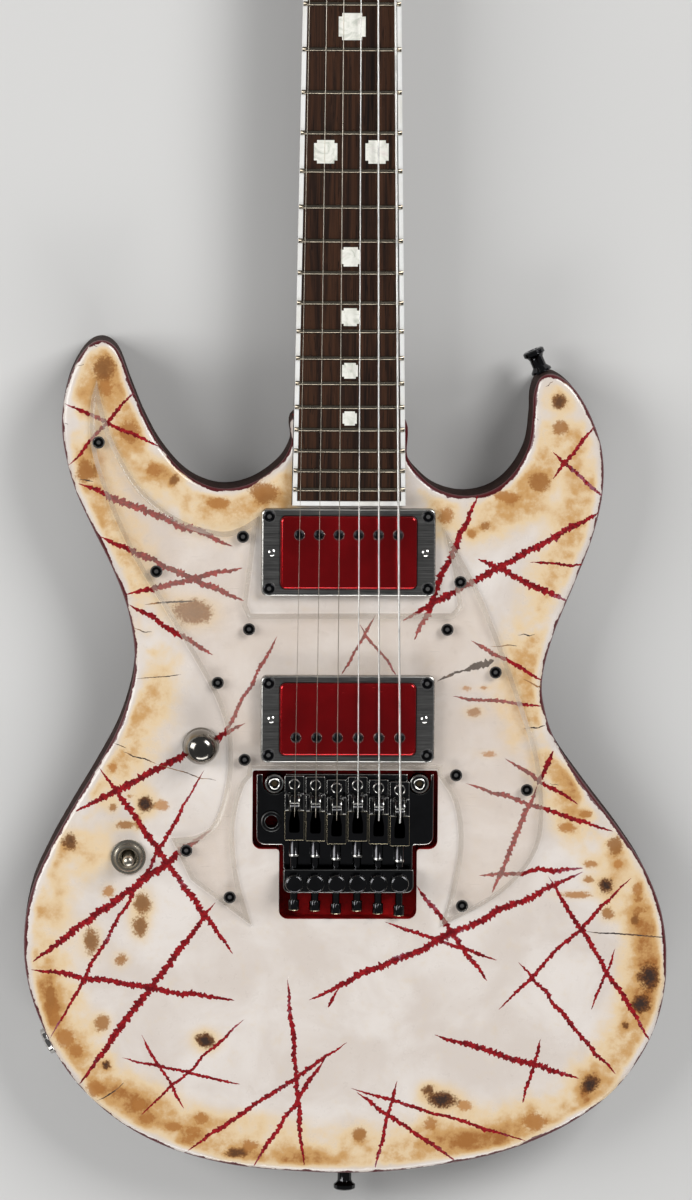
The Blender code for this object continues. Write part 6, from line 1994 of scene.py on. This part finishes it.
        # The lip and brow rings are painted highlights.
        lip = [(3.15, 42.9), (3.4, 43.12), (3.75, 43.0), (3.4, 42.8), (3.15, 42.9)]
        brow = [(4.85, 42.9), (5.25, 42.78), (5.46, 42.3), (5.2, 42.2), (4.85, 42.9)]
        whole = Shape.turned(wall, 48) + Shape.turned(lip, 48, slot=1) + Shape.turned(brow, 48, slot=1)
        whole.moved(*self.arm).piece("arm_collar", (BLACK_CHROME, DIM_HIGHLIGHT), "tremolo", ("arm_socket",))

    def saddle(self, index: int) -> None:
        """One saddle: a low foot with its screw, cheeks beside the string's seat, and the clamp's housing.

        Args:
            index: the string's number from zero.
        """
        side, floor_z = self.half_saddle, self.saddle_floor
        step = soft_corners(((-side, 5.5, 0.3), (side, 5.5, 0.3), (side, 14.2, 0.8), (-side, 14.2, 0.8)))
        # The rounded edges of the foot, cheeks, seat and block take the light edge finish: painted
        # highlights.
        foot = Shape.slab(step, floor_z, 45.5, 0.0, 0.35, 2, edge_slot=1)
        cheek = soft_corners(((-side, -3.2, 0.3), (-2.9, -3.2, 0.3), (-2.9, 5.5, 0.3), (-side, 5.5, 0.3)))
        cheeks = Shape.slab(cheek, floor_z, 49.4, 0.0, 0.35, 2, edge_slot=1)
        cheeks += Shape.slab(cheek * (-1, 1), floor_z, 49.4, 0.0, 0.35, 2, edge_slot=1)
        run = [(5.3, floor_z), (5.3, 47.6), (4.4, 50.6), (3.0, 51.9), (1.6, 52.25), (0.2, 52.2),
               (-1.2, 51.4), (-3.2, 49.6), (-3.2, floor_z)]
        seat = Shape.slab(np.array(run), -2.55, 2.55, 0.45, 0.45, 2, slot=0, edge_slot=1)
        seat = Shape(seat.points[:, [2, 0, 1]], seat.faces, seat.slots)
        # A bright rod along the seat's crest: a painted highlight where the string breaks over it.
        break_highlight = Shape.turned([(0, -2.4), (0.55, -2.4), (0.55, 2.4), (0, 2.4)], 16, slot=1)
        seat += break_highlight.spun(Matrix.Rotation(math.pi / 2, 4, "Y")).moved(0, 1.3, 51.85)
        keyhole = ((-side, -3.2, 0.3), (-side, -18.6, 0.5), (side, -18.6, 0.5), (side, -3.2, 0.3),
                   (1.45, -3.2, 0.2), (1.45, -7.7, 0.3), (2.5, -8.8, 0.4), (2.5, -14.4, 0.9),
                   (-2.5, -14.4, 0.9), (-2.5, -8.8, 0.4), (-1.45, -7.7, 0.3), (-1.45, -3.2, 0.2))
        # The housing's rounded edge is a warm painted highlight.
        housing = Shape.slab(soft_corners(keyhole), floor_z, 49.3, 0.0, 0.22, 2, edge_slot=2)
        floor = Shape.slab(rounded_box(5.2, 12.0, 0.5) + (0, -8.8), 41.5, 44.0)
        block = Shape.slab(rounded_box(4.0, 4.6, 0.5, 3) + (0, -11.8), 43.9, 47.6, 0.0, 0.4, 2, edge_slot=1)
        # The clamp insert carries the brass-tinted painted glint.
        insert = Shape.slab(rounded_box(2.3, 4.2, 0.3, 2) + (0, -5.6), 43.9, 47.9, 0.0, 0.3, 2, slot=3)
        # A bright ring on the foot screw's head: a painted highlight.
        screw_highlight_ring = [(2.1, 46.3), (2.55, 46.6), (2.9, 46.3), (2.9, 45.4), (2.1, 45.4), (2.1, 46.3)]
        screw = Shape.turned([(0, 45.4), (2.75, 45.4), (2.75, 46.2), (2.4, 46.5), (1.4, 46.5), (1.4, 45.7),
                              (0, 45.7)], 24)
        screw += Shape.turned(screw_highlight_ring, 24, slot=1).moved(z=0.03)
        whole = foot + cheeks + seat + housing + floor + block + insert + screw.moved(0, 9.9)
        whole += self.lock_screw()
        whole.moved(string_x(index, 0.0), -SADDLE_SETS[index]).piece(
            f"string_saddle_{index + 1}", (BLACK_CHROME, HIGHLIGHT_EDGE, GOLDEN_HIGHLIGHT, BRASS_GLINT), "tremolo",
            (f"saddle_{index + 1}",))

    def lock_screw(self) -> Shape:
        """The long screw behind a saddle: a sleeve, a shaft and a knurled head."""
        # Bands 1 and 2 of the profile are painted highlights on the sleeve's shoulder and the head's ends.
        profile = [(0.0, 18.0, 0, 0), (2.5, 18.0, 0, 0), (2.5, 25.9, 0, 0), (2.7, 26.2, 0, 0),
                   (2.7, 27.4, 0, 1), (2.1, 27.8, 0, 0), (1.95, 50.0, 0, 0), (2.5, 50.0, 0, 2),
                   (2.8, 50.3, 1, 0), (2.8, 55.0, 1, 0), (2.5, 55.4, 0, 2), (1.5, 55.5, 0, 0),
                   (1.4, 53.4, 0, 0), (0.0, 53.4, 0, 0)]
        screw = Shape.knurled(profile, 60, 20, 0.07)
        return screw.spun(Matrix.Rotation(math.pi / 2, 4, "X")).moved(0, 0, self.lock_z)

    def fine_tuner(self, index: int) -> None:
        """A knurled knob on its stem.

        Args:
            index: the string's number from zero.
        """
        foot = PLATE_TOP + 9.6
        # The band at the knob's top edge takes the dim edge finish: a faint painted highlight.
        profile = [(0.0, 46.9, 0, 0), (2.0, 46.9, 0, 0), (2.0, foot, 0, 0), (4.3, foot, 0, 0),
                   (4.75, foot + 0.5, 1, 0), (4.75, foot + 4.6, 1, 0), (4.3, foot + 5.15, 0, 1),
                   (3.4, foot + 5.5, 0, 0), (0.0, foot + 5.5, 0, 0)]
        knob = Shape.knurled(profile, 96, 24, 0.045).moved(string_x(index, 0.0), self.stem_y)
        knob.piece(f"fine_tuner_knob_{index + 1}", (BLACK_CHROME, DIM_HIGHLIGHT), f"fine_tuner_{index + 1}",
                   (f"fine_tuner_{index + 1}",))

    def springs(self) -> None:
        """Three coils from the block to the claw."""
        start, end, radius, turns, z = -5.7, 91.7, 3.4, 22, self.spring_z
        for number, x in enumerate(self.springs_at):
            angle = np.linspace(0, turns * math.tau, turns * 14 + 1)
            run = np.linspace(start + 12, end - 9, len(angle))
            coil = np.column_stack([x + radius * np.cos(angle), run, z + radius * np.sin(angle)])
            path = np.vstack([[(x, start, z), (x, start + 9, z)], coil, [(x, end - 6, z), (x, end, z)]])
            mesh = Shape.tube(path, 0.6, 8).mesh(f"claw_spring_{number + 1}")
            mesh.shade_smooth()
            made = dress(mesh, f"claw_spring_{number + 1}", (NICKEL,), "", (f"spring_{number + 1}",))
            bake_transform(made)


# Controls, fittings and head


@dataclass
class Controls:
    """The knob, the selector, the jack and the strap buttons."""

    dome_radius: float = 9.0
    dome_height: float = 11.0
    dome_foot: float = 48.0
    buttons: tuple = (("strap_button_tail", (1.5, -194.0)), ("strap_button_horn", (99.3, 220.0)))

    def build(self, frame: dict) -> None:
        """Makes the turned pieces and refines the rest.
        """
        self.volume()
        self.selector()
        loop = Body().outline()
        self.jack(loop)
        for name, near in self.buttons:
            place, outward = side_place(loop, near)
            profile = [(0, 0.3), (5.3, 0.3), (5.3, 1.4), (4.4, 2.4), (3.6, 3.4), (3.6, 7.6), (4.3, 9.0),
                       (5.6, 9.9), (5.6, 11.7), (5.2, 12.2), (4.5, 12.5), (2.6, 12.5), (2.2, 11.4),
                       (0, 11.4)]
            button = Shape.turned(profile, 40).spun(facing(place, outward))
            button.piece(f"turned_{name}", (BLACK_CHROME,), stands_for=(name,))
        for name in ("spring_cover", "control_cover"):
            refined(frame, name, (PLASTIC, PLASTIC), "guitar", 0.4)

    def volume(self) -> None:
        """A knob on its pot, over a thin skirt. Its dome has radius 9 cos(a)^0.62 at height 11 sin(a)."""
        pot = [(0, 26.7), (11.5, 26.7), (11.5, 35.7), (4.3, 35.7), (4.3, 42.3), (6.0, 42.3), (6.0, 44.2),
               (4.3, 44.2), (4.3, 45.0), (3.2, 45.0), (3.2, 33.4), (0, 33.4)]
        Shape.turned(pot, 40).moved(*KNOB_AT).piece("turned_pot", (NICKEL,), stands_for=("volume_pot",))
        turns = np.linspace(0.12, math.pi / 2, 12)
        dome = [(self.dome_radius * math.cos(a) ** 0.62, self.dome_foot + self.dome_height * math.sin(a))
                for a in turns[:-1]]
        profile = [(0, 33.7), (2.9, 33.7), (2.9, 47.0), (7.4, 47.0), (7.4, 42.8), (9.4, 42.8), (9.4, 44.0),
                   (9.1, 44.5), (8.9, 44.9), (9.0, 45.6), *dome, (0, 59.0)]
        knob = Shape.turned(profile, 64).moved(*KNOB_AT)
        knob.piece("domed_knob", (KNOB_CHROME,), "volume_knob", ("volume_knob",), 50.0)

    def selector(self) -> None:
        """A stepped round nut with a deep bore, and the lever whose ball sits in it."""
        profile = [(0, 21.7), (8.0, 21.7), (8.0, 35.7), (5.9, 35.7), (5.9, 42.3), (9.0, 42.3), (9.0, 43.6),
                   (8.6, 44.0), (7.6, 44.1), (7.2, 44.6), (6.8, 44.9), (6.8, 46.7), (6.4, 47.15),
                   (5.6, 47.2), (5.1, 46.7), (4.6, 46.6), (4.6, 34.8), (0, 34.8)]
        nut = Shape.turned(profile, 56).moved(*SWITCH_AT)
        nut.piece("stepped_switch_nut", (SWITCH_NICKEL,), stands_for=("selector_switch",))
        turns = np.linspace(0, 0.85 * math.pi, 12)
        ball = [(3.4 * math.sin(a), 38.5 - 3.4 * math.cos(a)) for a in turns]
        tip = [(1.5, 48.4), (2.1, 49.0), (2.6, 50.2), (2.75, 51.6), (2.75, 57.2), (2.5, 58.5), (1.7, 59.2),
               (0, 59.4)]
        lever = Shape.turned(ball + tip, 40).moved(*SWITCH_AT)
        lever.piece("switch_lever", (SWITCH_NICKEL,), "selector_lever", ("selector_lever",), 50.0)

    def jack(self, loop: np.ndarray) -> None:
        """The output jack in the side: a flange, a nut and a blind bore.

        Args:
            loop: the body's outline.
        """
        place, outward = side_place(loop, JACK_NEAR)
        profile = [(0, -34.5), (3.3, -34.5), (3.3, 4.0), (5.8, 4.0), (6.6, 3.7), (7.0, 3.2), (7.0, 1.3),
                   (8.6, 1.3), (9.0, 1.1), (9.0, 0.5), (7.6, 0.5), (7.6, -36.0), (0, -36.0)]
        jack = Shape.turned(profile, 48).spun(facing(place, outward))
        jack.piece("turned_jack", (NICKEL,), stands_for=("output_jack",))


@dataclass
class Head:
    """The locking nut, the retainer bar and the tuners."""

    def build(self, frame: dict) -> None:
        """Refines the CAD pieces and makes the posts.
        """
        for name in ("locking_nut", "string_retainer", "tuner_plate"):
            # Their bevels take the light edge finish: painted highlights.
            refined(frame, name, (BLACK_CHROME, HIGHLIGHT_EDGE), "guitar", 0.35)
        for number in range(1, 7):
            refined(frame, f"tuner_key_{number}", (BLACK_CHROME, BLACK_CHROME), f"tuner_key_{number}", 0.8)
            refined(frame, f"tuner_post_{number}", (NICKEL, NICKEL), f"tuner_post_{number}", 0.25)


# Studio


@dataclass(frozen=True)
class Studio:
    """The pale floor, the soft lights and the photograph's camera."""

    eye: tuple = (-108.05, 462.72, 3092.0)
    aim: tuple = (-1.045, 104.578, 42.0)
    roll: float = 0.3637
    lens: float = 180.36

    def build(self) -> None:
        """Sets up the stage."""
        scene = bpy.context.scene
        scene.view_settings.view_transform = "Standard"
        self.camera(scene)
        self.floor()
        self.world(scene)
        self.lamp("key", (1.6, 1.2, 1.9), 54.0, (1.3, 1.3))
        self.lamp("fill", (-1.9, 0.3, 1.5), 41.0, (1.2, 2.0))
        self.lamp("rim", (0.2, -2.3, 1.3), 27.0, (2.4, 0.7))

    def camera(self, scene: bpy.types.Scene) -> None:
        """Places the camera: it looks from eye to aim, rolled about its own axis."""
        data = bpy.data.cameras.new("photo_camera")
        data.lens = self.lens
        data.sensor_width = 36.0
        data.clip_end = 50.0
        made = bpy.data.objects.new("photo_camera", data)
        scene.collection.objects.link(made)
        shift = np.array([0.0, ROW_SHIFT_Y, 0.0])
        eye, aim = Vector((np.array(self.eye) + shift) * MM), Vector((np.array(self.aim) + shift) * MM)
        ahead = (aim - eye).normalized()
        right = ahead.cross(Vector((0, 1, 0))).normalized()
        up = right.cross(ahead)
        c, s = math.cos(math.radians(self.roll)), math.sin(math.radians(self.roll))
        x, y = right * c + up * s, up * c - right * s
        turn = Matrix((x, y, -ahead)).transposed().to_4x4()
        made.matrix_world = Matrix.Translation(eye) @ turn
        scene.camera = made

    def floor(self) -> None:
        """A wide floor under the guitar."""
        mesh = bpy.data.meshes.new("studio_floor")
        mesh.from_pydata([(-6, -6, 0), (6, -6, 0), (6, 6, 0), (-6, 6, 0)], [], [(0, 1, 2, 3)])
        mesh.materials.append(FLOOR.material())
        made = bpy.data.objects.new("studio_floor", mesh)
        bpy.context.scene.collection.objects.link(made)

    @staticmethod
    def world(scene: bpy.types.Scene) -> None:
        """An even soft sky."""
        world = bpy.data.worlds.new("studio_sky")
        scene.world = world
        world.use_nodes = True
        sky = world.node_tree.nodes["Background"]
        sky.inputs["Color"].default_value = (0.94, 0.96, 1.0, 1.0)
        sky.inputs["Strength"].default_value = 0.12

    @staticmethod
    def lamp(name: str, place: tuple, power: float, size: tuple) -> None:
        """A soft rectangular lamp that faces the guitar's body.

        Args:
            name: the lamp's name.
            place: where it hangs, in metres.
            power: its power in watts.
            size: its two sides in metres.
        """
        data = bpy.data.lights.new(name, "AREA")
        data.shape = "RECTANGLE"
        data.size, data.size_y = size
        data.energy = power
        made = bpy.data.objects.new(name, data)
        bpy.context.scene.collection.objects.link(made)
        made.location = place
        aim = Vector((0.0, -0.25, 0.0)) - Vector(place)
        made.rotation_euler = aim.to_track_quat("-Z", "Y").to_euler()


def main() -> None:
    """Builds every sub-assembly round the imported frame."""
    logging.basicConfig(level=logging.INFO, format="%(name)s %(message)s")
    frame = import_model()
    Studio().build()
    Body().build()
    Guard().build()
    Pickup("neck_pickup", NECK_RING_Y, 42.3, 4.5, 9.2).build()
    Pickup("bridge_pickup", BRIDGE_RING_Y, 45.6, 4.0, -9.2).build()
    Neck().build(frame)
    Strings().build()
    Bridge().build(frame)
    Controls().build(frame)
    Head().build(frame)


if __name__ == "__main__":
    main()
